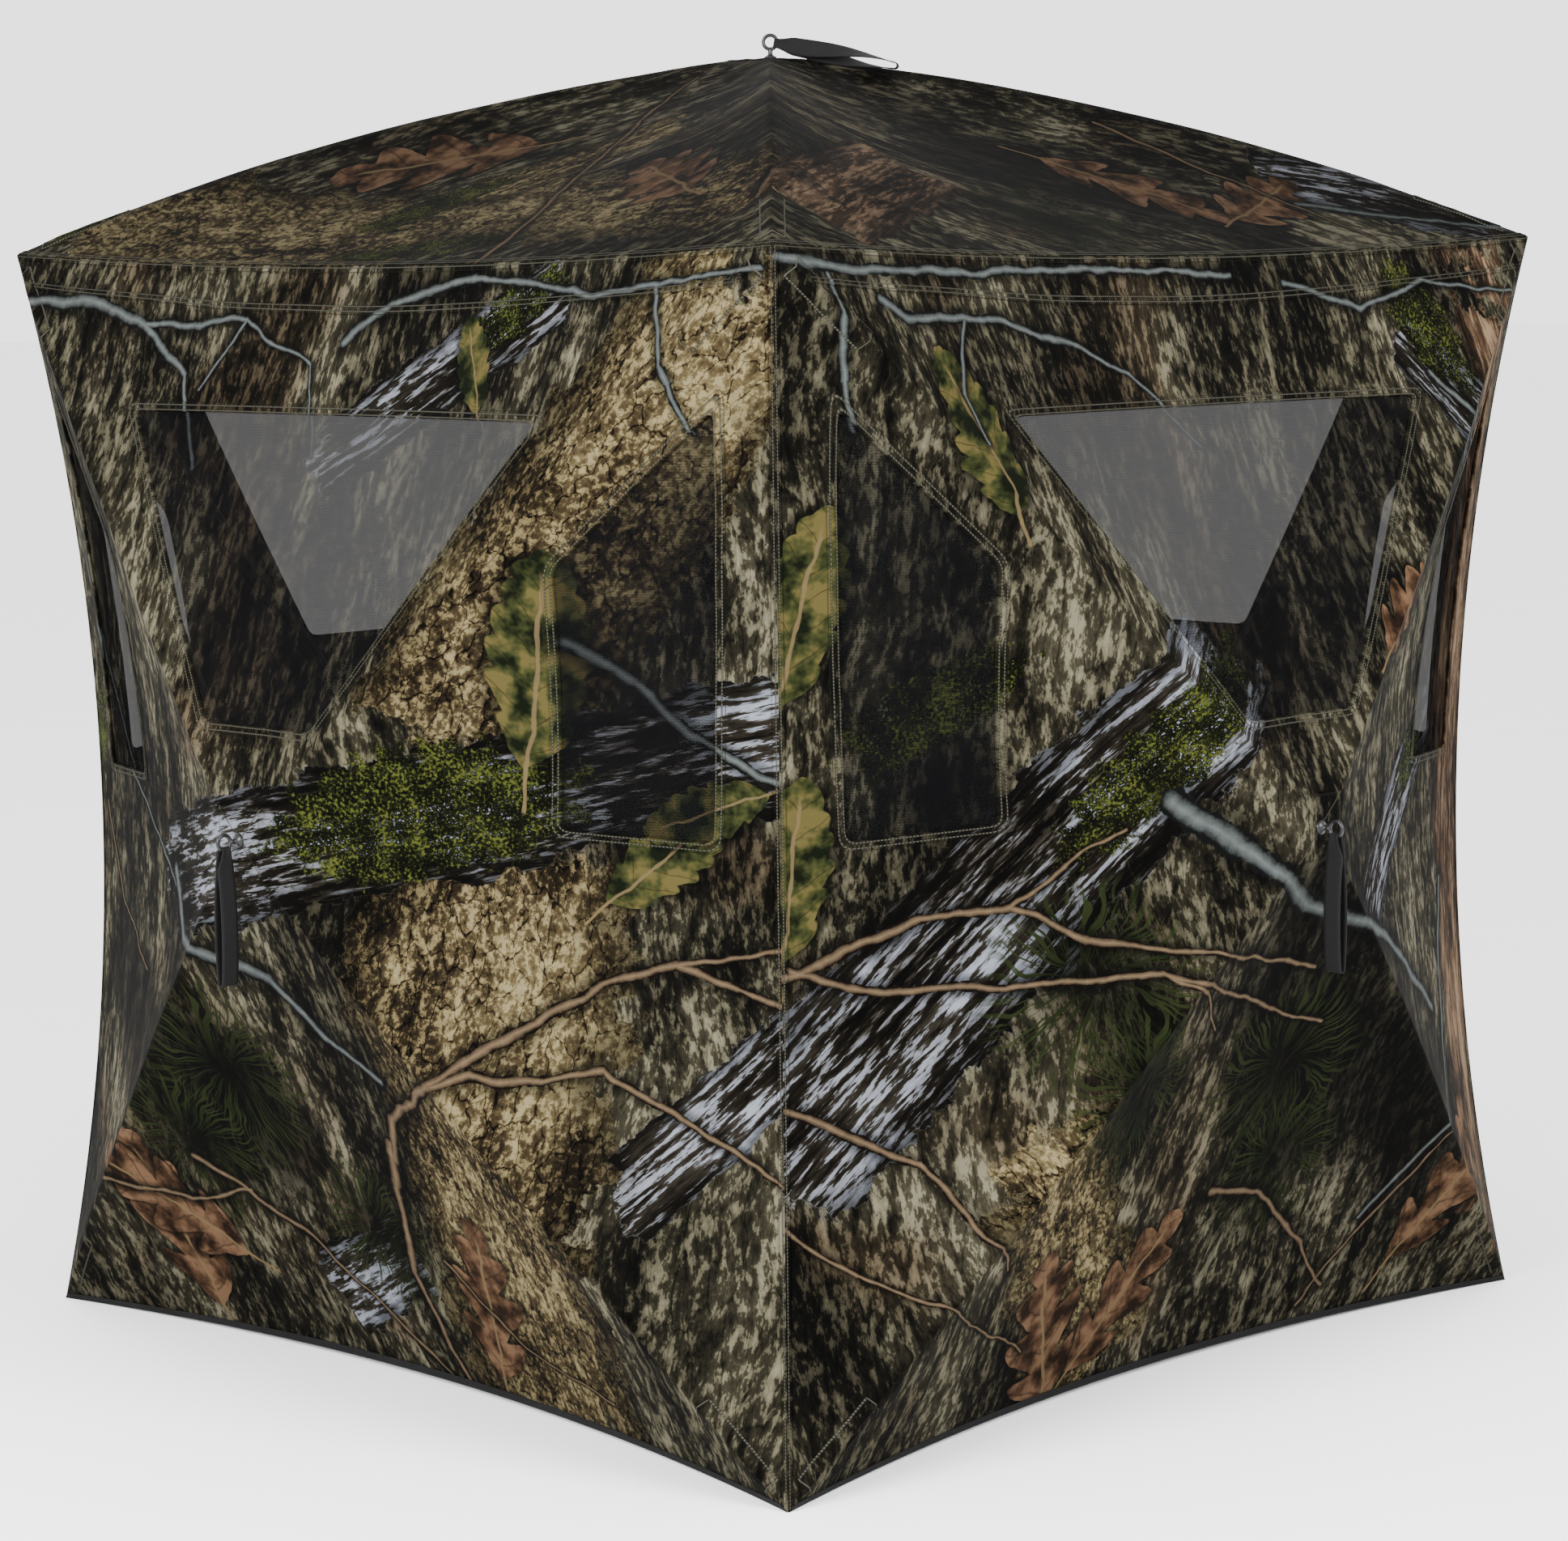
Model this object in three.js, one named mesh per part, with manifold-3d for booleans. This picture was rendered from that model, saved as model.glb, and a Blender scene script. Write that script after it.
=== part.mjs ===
// Pop-up ground blind: a roof and four walls of fabric, each stretched over a hub with four poles.
// Millimetres, +Z up. The origin is on the ground under the middle of the roof.
// The front wall faces -Y, the right wall +X, the back wall +Y and the left wall -X.
import * as THREE from 'three';
import { ParametricGeometry } from 'three/addons/geometries/ParametricGeometry.js';
import { mergeVertices } from 'three/addons/utils/BufferGeometryUtils.js';
import Module from 'manifold-3d';

// Overall size
const HALF_TOP = 736.5; // half the side, corner to corner, at the eaves
const HALF_FOOT = 725; // half the side at the ground
const CORNER_HEIGHT = 1475;
const ROOF_RISE = 252; // roof hub above the corners
const WALL_REACH = 208; // wall hub outside the plane of its corners
const WALL_HUB_HEIGHT = 752;

// How the tight fabric curves between its corners
const CORNER_BOW = 59;
const EAVE_BOW = 24;
const EAVE_SAG = 20;
const HEM_BOW = 75;
const HEM_LIFT = 8;
const WALL_RIDGE_BOW = 12;
const ROOF_RIDGE_BOW = 35;
const RIDGE_SHARPNESS = 2;

// Fabric sheets
const FABRIC = 3;
const SEAM_GAP = 0.4;
const CLAMP_HALF = 40; // the flat square of fabric that a hub clamps
const BOLT_HOLE_HALF = 7;
const EDGE_STEPS = 6;
const SLOPE_STEPS = 4;

// Window screens and covers lie behind the fabric, each at its own depth
const SCREEN = { depth: 5, thickness: 1.6, lap: 16 };
const COVER = { depth: 8.8, thickness: 1.6, lap: 24 };
const WINDOW_CORNER = 14;

// Hubs, poles and their pivots
const HUB_RADIUS = 36;
const HUB_BODY_RADIUS = 33;
const HUB_FLANGE = 4;
const HUB_DEPTH = 52;
const PIVOT_DEPTH = 36;
const PIVOT_RADIUS = 24;
const SLOT_WIDTH = 14.6;
const SLOT_START = 14;
const PIN_RADIUS = 2.2;
const PIN_LENGTH = 24;
const PIN_PLAY = 0.5;
const EYE_RADIUS = 7.5;
const EYE_WIDTH = 13.4;
const POLE_RADIUS = 5;
const TIP_RADIUS = 6.2;
const TIP_LENGTH = 34;
const TIP_INSET = 60; // pole tip to the corner, along each edge
const TIP_DEPTH = 20; // pole tip inside the plane of the corners
const BOLT_BORE = 3.8;
const HUB_SIDES = 16;
const POLE_SIDES = 8;
const PIN_SIDES = 6;
const BOLT_SIDES = 8;

// Eye bolts and pull straps
const BOLT_RADIUS = 3;
const BOSS_RADIUS = 9.5;
const BOSS_HEIGHT = 6;
const NECK_RADIUS = 4;
const NECK_HEIGHT = 9;
const NUT_RADIUS = 8;
const NUT_HEIGHT = 6;
const NUT_SIDES = 6;
const RING_RADIUS = 9.6;
const RING_WIRE = 2.5;
const STRAP = { length: 165, width: 25, neck: 5.5, taper: 34, inner: 3.4, thickness: 1.5, steps: 6 };
const ROOF_STRAP_TURN = 38; // degrees from the +X axis
const ROOF_STRAP_DROP = 11.5; // degrees down from level, onto the roof

// Feet in the bottom corners, and the door's zip slider on the back wall
const FOOT = { inset: 15, leg: 32, height: 30 };
const ZIP_OFFSET = 40; // from the pole's line to the zip, inside the lower facet
const ZIP_START = 0.12; // share of the way from the corner to the hub
const ZIP_STAND_OFF = 7;
const SLIDER = { length: 26, width: 12, height: 6, tab: 32, tabWidth: 9, tabThickness: 1.8 };

const wasm = await Module();
wasm.setup();

const arch = (share) => 4 * share * (1 - share);
const halfAt = (height) => THREE.MathUtils.mapLinear(height, 0, CORNER_HEIGHT, HALF_FOOT, HALF_TOP);

// Booleans

function solidOf(geometry) {
  const bare = geometry.clone();
  bare.deleteAttribute('normal');
  bare.deleteAttribute('uv');
  const merged = mergeVertices(bare);
  return new wasm.Manifold(new wasm.Mesh({
    numProp: 3,
    vertProperties: new Float32Array(merged.attributes.position.array),
    triVerts: new Uint32Array(merged.index.array),
  }));
}

function geometryOf(solid) {
  const mesh = solid.getMesh();
  const geometry = new THREE.BufferGeometry();
  geometry.setAttribute('position', new THREE.BufferAttribute(mesh.vertProperties, 3));
  geometry.setIndex(new THREE.BufferAttribute(mesh.triVerts, 1));
  geometry.computeVertexNormals();
  return geometry;
}

const cylinderAlongZ = (radius, from, to, sides) => new THREE.CylinderGeometry(radius, radius, to - from, sides)
  .rotateX(Math.PI / 2).translate(0, 0, (from + to) / 2);

// Faces. Each is built in its own frame: u across and v up the plane of its corners, n outwards.
// Once around its edge is 0 to 4: the lower edge rightwards, up, the upper edge leftwards, down.

const INWARD = [[0, 1], [-1, 0], [0, -1], [1, 0]];

const wallFace = {
  hub: new THREE.Vector3(0, WALL_HUB_HEIGHT, WALL_REACH),
  ridgeBow: WALL_RIDGE_BOW,
  edge(side, share) {
    const across = 2 * share - 1;
    if (side === 0) {
      return new THREE.Vector3(across * HALF_FOOT, HEM_LIFT * arch(share),
        HALF_FOOT - HALF_TOP - HEM_BOW * arch(share));
    }
    if (side === 2) {
      return new THREE.Vector3(-across * HALF_TOP, CORNER_HEIGHT - EAVE_SAG * arch(share), -EAVE_BOW * arch(share));
    }
    const height = CORNER_HEIGHT * (side === 1 ? share : 1 - share);
    const half = halfAt(height) - CORNER_BOW * arch(share);
    return new THREE.Vector3(side === 1 ? half : -half, height, half - HALF_TOP);
  },
};

const roofFace = {
  hub: new THREE.Vector3(0, 0, ROOF_RISE),
  ridgeBow: ROOF_RIDGE_BOW,
  edge(side, share) {
    const along = (2 * share - 1) * HALF_TOP;
    const out = HALF_TOP - EAVE_BOW * arch(share);
    const low = -EAVE_SAG * arch(share);
    return new THREE.Vector3(along, -out, low).applyAxisAngle(new THREE.Vector3(0, 0, 1), side * Math.PI / 2);
  },
};

// A point of a face, `slope` from 0 at the edge to 1 at the clamped square, `depth` under the surface.
function facePoint(face, around, slope, depth) {
  const side = Math.floor(around) % 4;
  const share = around - Math.floor(around);
  const edge = face.edge(side, share);
  const neighbours = [side];
  if (share === 0) neighbours.push((side + 3) % 4);
  for (const k of neighbours) {
    edge.x += INWARD[k][0] * (SEAM_GAP + depth);
    edge.y += INWARD[k][1] * (SEAM_GAP + depth);
  }
  const point = edge.lerp(clampPoint(face, side, share, CLAMP_HALF), slope);
  point.z += face.ridgeBow * arch(slope) * Math.abs(2 * share - 1) ** RIDGE_SHARPNESS - depth;
  return point;
}

function clampPoint(face, side, share, half) {
  const offset = new THREE.Vector3((2 * share - 1) * half, -half, 0);
  return offset.applyAxisAngle(new THREE.Vector3(0, 0, 1), side * Math.PI / 2).add(face.hub);
}

// A closed sheet over a whole face: down its outer side to the bolt hole and back along its inner side.
function sheet(face, depth, thickness) {
  const rows = SLOPE_STEPS + 2;
  const point = (aroundShare, sectionShare, target) => {
    const around = (Math.round(aroundShare * 4 * EDGE_STEPS) % (4 * EDGE_STEPS)) / EDGE_STEPS;
    const step = Math.round(sectionShare * 2 * rows) % (2 * rows);
    const row = step < rows ? step : 2 * rows - 1 - step;
    const below = step < rows ? depth : depth + thickness;
    if (row <= SLOPE_STEPS) {
      target.copy(facePoint(face, around, row / SLOPE_STEPS, below));
    } else {
      target.copy(clampPoint(face, Math.floor(around) % 4, around % 1, BOLT_HOLE_HALF));
      target.z -= below;
    }
  };
  const geometry = new ParametricGeometry(point, 4 * EDGE_STEPS, 2 * rows);
  // The inner half runs back, so its bent quads are split the other way: both sides then share their creases.
  const index = geometry.getIndex();
  for (let k = index.count / 2; k < index.count; k += 6) {
    const [a, b, d, , c] = index.array.slice(k, k + 6);
    index.array.set([a, b, c, a, c, d], k);
  }
  return solidOf(geometry);
}

// Windows: outlines in a wall's u and v, grown by a margin and cut straight through

const TOP_WINDOW = [[-104, 890], [104, 890], [396, 1270], [-396, 1270]];
const SIDE_WINDOW = [[412, 786], [596, 777], [606, 930], [622, 1110], [643, 1288], [440, 1098]];
const mirrored = (outline) => outline.map(([u, v]) => [-u, v]).reverse();

function grown(outline, margin) {
  return outline.map((here, k) => {
    const back = outline.at(k - 1);
    const next = outline[(k + 1) % outline.length];
    const into = new THREE.Vector2(here[0] - back[0], here[1] - back[1]).normalize();
    const away = new THREE.Vector2(next[0] - here[0], next[1] - here[1]).normalize();
    const scale = margin / (1 + into.dot(away));
    return [here[0] + scale * (into.y + away.y), here[1] - scale * (into.x + away.x)];
  });
}

function prism(outline, radius) {
  const shape = new THREE.Shape();
  outline.forEach((here, k) => {
    const corner = new THREE.Vector2(...here);
    const before = new THREE.Vector2(...outline.at(k - 1));
    const after = new THREE.Vector2(...outline[(k + 1) % outline.length]);
    const start = corner.clone().add(before.sub(corner).setLength(radius));
    const end = corner.clone().add(after.sub(corner).setLength(radius));
    if (k === 0) shape.moveTo(start.x, start.y);
    else shape.lineTo(start.x, start.y);
    shape.quadraticCurveTo(corner.x, corner.y, end.x, end.y);
  });
  shape.closePath();
  const depth = 3 * WALL_REACH;
  const geometry = new THREE.ExtrudeGeometry(shape, { depth, bevelEnabled: false, curveSegments: 3 });
  return solidOf(geometry.translate(0, 0, -WALL_REACH));
}

const WINDOWS = { top: TOP_WINDOW, side_right: SIDE_WINDOW, side_left: mirrored(SIDE_WINDOW) };

function panelBehind(outline, layer) {
  const cutter = prism(grown(outline, layer.lap), WINDOW_CORNER);
  return sheet(wallFace, layer.depth, layer.thickness).intersect(cutter);
}

// Hub hardware, in the frame of the face with the hub's fabric at n = 0

function hubGeometry(poleAngles) {
  const top = -FABRIC - SEAM_GAP;
  const flange = top - HUB_FLANGE;
  let body = solidOf(cylinderAlongZ(HUB_BODY_RADIUS, -HUB_DEPTH, top - HUB_FLANGE / 2, HUB_SIDES));
  for (const angle of poleAngles) {
    const reach = 2 * HUB_RADIUS - SLOT_START;
    const slot = new THREE.BoxGeometry(reach, SLOT_WIDTH, 2 * HUB_DEPTH)
      .translate(SLOT_START + reach / 2, 0, -HUB_DEPTH / 2).rotateZ(angle);
    const holeRadius = PIN_RADIUS + PIN_PLAY;
    const pinHole = new THREE.CylinderGeometry(holeRadius, holeRadius, PIN_LENGTH + 2 * PIN_PLAY, PIN_SIDES)
      .translate(PIVOT_RADIUS, 0, -PIVOT_DEPTH).rotateZ(angle);
    body = body.subtract(solidOf(slot)).subtract(solidOf(pinHole));
  }
  const bore = solidOf(cylinderAlongZ(BOLT_BORE, -2 * HUB_DEPTH, HUB_DEPTH, BOLT_SIDES));
  return geometryOf(body.add(solidOf(cylinderAlongZ(HUB_RADIUS, flange, top, HUB_SIDES))).subtract(bore));
}

// A pole lies along +X from its pivot, with the pivot pin along Y.
function poleGeometry(length) {
  const rod = new THREE.CylinderGeometry(POLE_RADIUS, POLE_RADIUS, length - TIP_LENGTH / 2, POLE_SIDES)
    .rotateZ(-Math.PI / 2).translate((length - TIP_LENGTH / 2) / 2, 0, 0);
  const tip = new THREE.CylinderGeometry(TIP_RADIUS, TIP_RADIUS, TIP_LENGTH, POLE_SIDES)
    .rotateZ(-Math.PI / 2).translate(length - TIP_LENGTH / 2, 0, 0);
  const eye = new THREE.CylinderGeometry(EYE_RADIUS, EYE_RADIUS, EYE_WIDTH, POLE_SIDES);
  const pin = new THREE.CylinderGeometry(PIN_RADIUS, PIN_RADIUS, PIN_LENGTH, PIN_SIDES);
  return geometryOf(solidOf(rod).add(solidOf(tip)).add(solidOf(eye)).add(solidOf(pin)));
}

const ringCentre = BOSS_HEIGHT + NECK_HEIGHT + RING_RADIUS;

function eyeBoltGeometry() {
  const under = -HUB_DEPTH - SEAM_GAP;
  const boss = cylinderAlongZ(BOSS_RADIUS, SEAM_GAP, SEAM_GAP + BOSS_HEIGHT, BOLT_SIDES);
  const neck = cylinderAlongZ(NECK_RADIUS, SEAM_GAP, BOSS_HEIGHT + NECK_HEIGHT + RING_WIRE / 2, BOLT_SIDES);
  const shaft = cylinderAlongZ(BOLT_RADIUS, under - NUT_HEIGHT - 2, BOSS_HEIGHT / 2, BOLT_SIDES);
  const nut = cylinderAlongZ(NUT_RADIUS, under - NUT_HEIGHT, under, NUT_SIDES);
  const ring = new THREE.TorusGeometry(RING_RADIUS, RING_WIRE, 5, 12).rotateY(Math.PI / 2)
    .translate(0, 0, ringCentre);
  return geometryOf(solidOf(boss).add(solidOf(neck)).add(solidOf(shaft)).add(solidOf(nut)).add(solidOf(ring)));
}

// A loop of webbing through the ring, which lies at the origin in the YZ plane: the strap hangs along -Y,
// is wide along Z, narrows where it goes round the wire and then turns about its length by `twist`.
function strapGeometry(twist) {
  const side = (path, x, from, to) => {
    for (let step = 0; step <= STRAP.steps; step += 1) {
      path.lineTo(x, -THREE.MathUtils.lerp(from, to, step / STRAP.steps));
    }
  };
  const loop = (path, radius) => {
    path.moveTo(radius, 0);
    path.absarc(0, 0, radius, 0, Math.PI, false);
    side(path, -radius, STRAP.taper / STRAP.steps, STRAP.length);
    path.absarc(0, -STRAP.length, radius, Math.PI, 2 * Math.PI, false);
    side(path, radius, STRAP.length, STRAP.taper / STRAP.steps);
    path.closePath();
    return path;
  };
  const outline = loop(new THREE.Shape(), STRAP.inner + STRAP.thickness);
  outline.holes.push(loop(new THREE.Path(), STRAP.inner));
  const geometry = new THREE.ExtrudeGeometry(outline, { depth: STRAP.width, bevelEnabled: false, curveSegments: 3 })
    .translate(0, 0, -STRAP.width / 2);
  const position = geometry.attributes.position;
  const point = new THREE.Vector3();
  for (let k = 0; k < position.count; k += 1) {
    point.fromBufferAttribute(position, k);
    const widening = THREE.MathUtils.clamp(-point.y / STRAP.taper, 0, 1);
    point.z *= THREE.MathUtils.lerp(STRAP.neck, STRAP.width, widening) / STRAP.width;
    point.applyAxisAngle(new THREE.Vector3(0, 1, 0), twist * THREE.MathUtils.smoothstep(-point.y, 0, STRAP.length));
    position.setXYZ(k, ...point.toArray());
  }
  return geometryOf(solidOf(geometry.translate(0, -RING_RADIUS, 0)));
}

function footGeometry() {
  const shape = new THREE.Shape();
  shape.moveTo(0, 0);
  shape.lineTo(-FOOT.leg, 0);
  shape.lineTo(0, -FOOT.leg);
  shape.closePath();
  return new THREE.ExtrudeGeometry(shape, { depth: FOOT.height, bevelEnabled: false });
}

// The slider lies along X, with the zip under it; its pull tab trails behind.
function zipSliderGeometry() {
  const body = new THREE.BoxGeometry(SLIDER.length, SLIDER.width, SLIDER.height);
  const bridge = new THREE.BoxGeometry(SLIDER.length / 2, SLIDER.width / 3, SLIDER.height)
    .translate(0, 0, SLIDER.height / 2);
  const tab = new THREE.BoxGeometry(SLIDER.tab, SLIDER.tabWidth, SLIDER.tabThickness)
    .translate(-SLIDER.tab / 2, 0, SLIDER.height);
  return geometryOf(solidOf(body).add(solidOf(bridge)).add(solidOf(tab)));
}

// Materials

const finish = (color, roughness, metalness = 0) => new THREE.MeshStandardMaterial({ color, roughness, metalness });
const CAMO = finish(0x57523f, 0.85);
const MESH = finish(0x2b2a26, 0.9);
const BLACK_CLOTH = finish(0x141416, 0.85);
const BLACK_PLASTIC = finish(0x18181a, 0.5);
const POLE = finish(0x1d1d1f, 0.4);
const BLACK_METAL = finish(0x111112, 0.25, 0.6);
const WEBBING = finish(0x202022, 0.8);

function named(name, geometry, material) {
  const mesh = new THREE.Mesh(geometry, material);
  mesh.name = name;
  return mesh;
}

// Assembly

const blind = new THREE.Group();
const CORNERS = { bottom_left: 0, bottom_right: 1, top_right: 2, top_left: 3 };

function poleEnds(face, corner) {
  const point = face.edge(corner, 0);
  const tip = new THREE.Vector3(
    point.x - Math.sign(point.x) * TIP_INSET,
    point.y + (INWARD[corner][1] + INWARD[(corner + 3) % 4][1]) * TIP_INSET,
    point.z - TIP_DEPTH,
  );
  const radial = new THREE.Vector3(tip.x - face.hub.x, tip.y - face.hub.y, 0).normalize();
  const pivot = face.hub.clone().addScaledVector(radial, PIVOT_RADIUS);
  pivot.z -= PIVOT_DEPTH;
  return { tip, pivot, radial };
}

// Everything that a face's hub carries, in the face's frame
function addHub(group, face, name, strapLie) {
  const angles = [];
  for (const [corner, index] of Object.entries(CORNERS)) {
    const { tip, pivot, radial } = poleEnds(face, index);
    const along = tip.clone().sub(pivot);
    const across = new THREE.Vector3(0, 0, 1).cross(radial);
    const basis = new THREE.Matrix4().makeBasis(
      along.clone().normalize(), across, along.clone().normalize().cross(across));
    const pole = named(`pole_${name}_${corner}`, poleGeometry(along.length()), POLE);
    pole.quaternion.setFromRotationMatrix(basis);
    pole.position.copy(pivot);
    group.add(pole);
    angles.push(Math.atan2(radial.y, radial.x));
  }
  const hub = named(`hub_${name}`, hubGeometry(angles), BLACK_PLASTIC);
  const bolt = named(`eye_bolt_${name}`, eyeBoltGeometry(), BLACK_METAL);
  bolt.rotation.z = strapLie.turn;
  const strap = named(`pull_strap_${name}`, strapGeometry(strapLie.twist), WEBBING);
  strap.rotation.set(strapLie.drop, 0, strapLie.turn, 'ZYX');
  const carried = new THREE.Group();
  carried.position.copy(face.hub);
  strap.position.z = ringCentre;
  carried.add(hub, bolt, strap);
  group.add(carried);
}

const roof = new THREE.Group();
roof.position.z = CORNER_HEIGHT;
roof.add(named('roof_panel', geometryOf(sheet(roofFace, 0, FABRIC)), CAMO));
addHub(roof, roofFace, 'roof', {
  turn: THREE.MathUtils.degToRad(90 + ROOF_STRAP_TURN),
  drop: THREE.MathUtils.degToRad(ROOF_STRAP_DROP),
  twist: Math.PI / 2,
});
blind.add(roof);

const COVERED = { back: 'side_right', left: 'side_left' };

['front', 'right', 'back', 'left'].forEach((name, quarter) => {
  const turned = new THREE.Group();
  turned.rotation.z = quarter * Math.PI / 2;
  const wall = new THREE.Group();
  wall.rotation.x = Math.PI / 2;
  wall.position.y = -HALF_TOP;

  let panel = sheet(wallFace, 0, FABRIC);
  for (const [place, outline] of Object.entries(WINDOWS)) {
    panel = panel.subtract(prism(outline, WINDOW_CORNER));
    wall.add(named(`screen_${name}_${place}`, geometryOf(panelBehind(outline, SCREEN)), MESH));
  }
  wall.add(named(`wall_${name}`, geometryOf(panel), CAMO));
  if (COVERED[name]) {
    const cover = geometryOf(panelBehind(WINDOWS[COVERED[name]], COVER));
    wall.add(named(`window_cover_${name}`, cover, BLACK_CLOTH));
  }
  addHub(wall, wallFace, name, { turn: 0, drop: 0, twist: 0 });

  if (name === 'back') {
    const corner = wallFace.edge(0, 0);
    const along = wallFace.hub.clone().sub(corner);
    const unit = along.clone().normalize();
    const sideways = new THREE.Vector3(0, 0, 1).cross(unit).normalize();
    const slider = named('door_zip_slider', zipSliderGeometry(), BLACK_METAL);
    const basis = new THREE.Matrix4().makeBasis(unit, sideways, unit.clone().cross(sideways));
    slider.quaternion.setFromRotationMatrix(basis);
    slider.position.copy(corner).addScaledVector(along, ZIP_START).addScaledVector(sideways, -ZIP_OFFSET);
    slider.position.z += ZIP_STAND_OFF;
    wall.add(slider);
  }
  turned.add(wall);

  const foot = named(`corner_foot_${name}`, footGeometry(), BLACK_PLASTIC);
  foot.rotation.z = -Math.PI / 2;
  foot.position.set(HALF_FOOT - FOOT.inset, -HALF_FOOT + FOOT.inset, 0);
  turned.add(foot);
  blind.add(turned);
});

export default blind;
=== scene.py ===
"""Pop up ground blind: printed fabric, mesh windows, seams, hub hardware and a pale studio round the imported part.

Metres, +Z up. Each face is worked in its own u (across), v (up) and n (outwards), and its print is laid out in u, v.
"""

import logging
import math
from dataclasses import dataclass, field
from enum import Enum
from typing import Any, Callable, Iterable, Sequence

import bmesh
import bpy
from mathutils import Matrix, Vector, noise
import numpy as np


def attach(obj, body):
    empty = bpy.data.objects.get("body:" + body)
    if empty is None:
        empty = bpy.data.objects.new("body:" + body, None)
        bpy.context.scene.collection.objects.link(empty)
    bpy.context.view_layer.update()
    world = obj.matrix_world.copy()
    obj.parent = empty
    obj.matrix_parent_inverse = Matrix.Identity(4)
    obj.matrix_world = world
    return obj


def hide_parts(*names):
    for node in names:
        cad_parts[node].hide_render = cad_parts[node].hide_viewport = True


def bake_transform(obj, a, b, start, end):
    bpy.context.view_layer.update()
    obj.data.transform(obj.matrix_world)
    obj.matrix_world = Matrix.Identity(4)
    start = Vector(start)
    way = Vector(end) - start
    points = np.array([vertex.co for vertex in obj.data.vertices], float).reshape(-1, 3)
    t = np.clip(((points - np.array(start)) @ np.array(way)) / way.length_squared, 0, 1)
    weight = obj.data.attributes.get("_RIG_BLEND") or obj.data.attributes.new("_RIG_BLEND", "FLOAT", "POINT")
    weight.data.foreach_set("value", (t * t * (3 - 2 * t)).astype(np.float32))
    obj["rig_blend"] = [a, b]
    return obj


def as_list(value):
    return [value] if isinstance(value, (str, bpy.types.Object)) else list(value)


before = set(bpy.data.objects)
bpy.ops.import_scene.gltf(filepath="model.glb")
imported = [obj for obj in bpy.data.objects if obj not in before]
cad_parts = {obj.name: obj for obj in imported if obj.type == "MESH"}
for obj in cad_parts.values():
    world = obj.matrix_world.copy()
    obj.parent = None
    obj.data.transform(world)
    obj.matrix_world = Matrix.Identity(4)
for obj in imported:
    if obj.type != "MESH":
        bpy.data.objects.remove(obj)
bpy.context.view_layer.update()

LOG = logging.getLogger("ground_blind")
Outline = list[tuple[float, float]]
Place = Callable[[float, float], tuple[Vector, tuple[float, float]]]


def arch(share: float) -> float:
    """A parabola of height 1 over shares 0 to 1."""
    return 4 * share * (1 - share)


def smooth(low: float, high: float, value: float) -> float:
    """The smooth step from 0 at low to 1 at high.

    Args:
        low: Where the step starts.
        high: Where the step ends.
        value: The place along it.

    Returns:
        The step's height.
    """
    share = min(max((value - low) / (high - low), 0.0), 1.0)
    return share * share * (3 - 2 * share)


class Side(Enum):
    """The four sides of a face, once round."""

    BOTTOM = 0
    RIGHT = 1
    TOP = 2
    LEFT = 3


@dataclass(frozen=True)
class Shape:
    """The blind's size and the curves that its tight fabric takes."""

    half_top: float = 0.7365
    half_foot: float = 0.725
    corner_height: float = 1.475
    roof_rise: float = 0.252
    wall_reach: float = 0.208
    wall_hub_height: float = 0.752
    corner_bow: float = 0.059
    eave_bow: float = 0.024
    eave_sag: float = 0.020
    hem_bow: float = 0.075
    hem_lift: float = 0.008
    wall_ridge_bow: float = 0.012
    roof_ridge_bow: float = 0.035
    clamp_half: float = 0.040


SHAPE = Shape()


def quarter_turn(point: Vector, quarters: int) -> Vector:
    """The point turned about the third axis.

    Args:
        point: What is turned.
        quarters: How many right angles, anticlockwise.

    Returns:
        The turned point.
    """
    x, y, z = point
    for _ in range(quarters % 4):
        x, y = -y, x
    return Vector((x, y, z))


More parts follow.
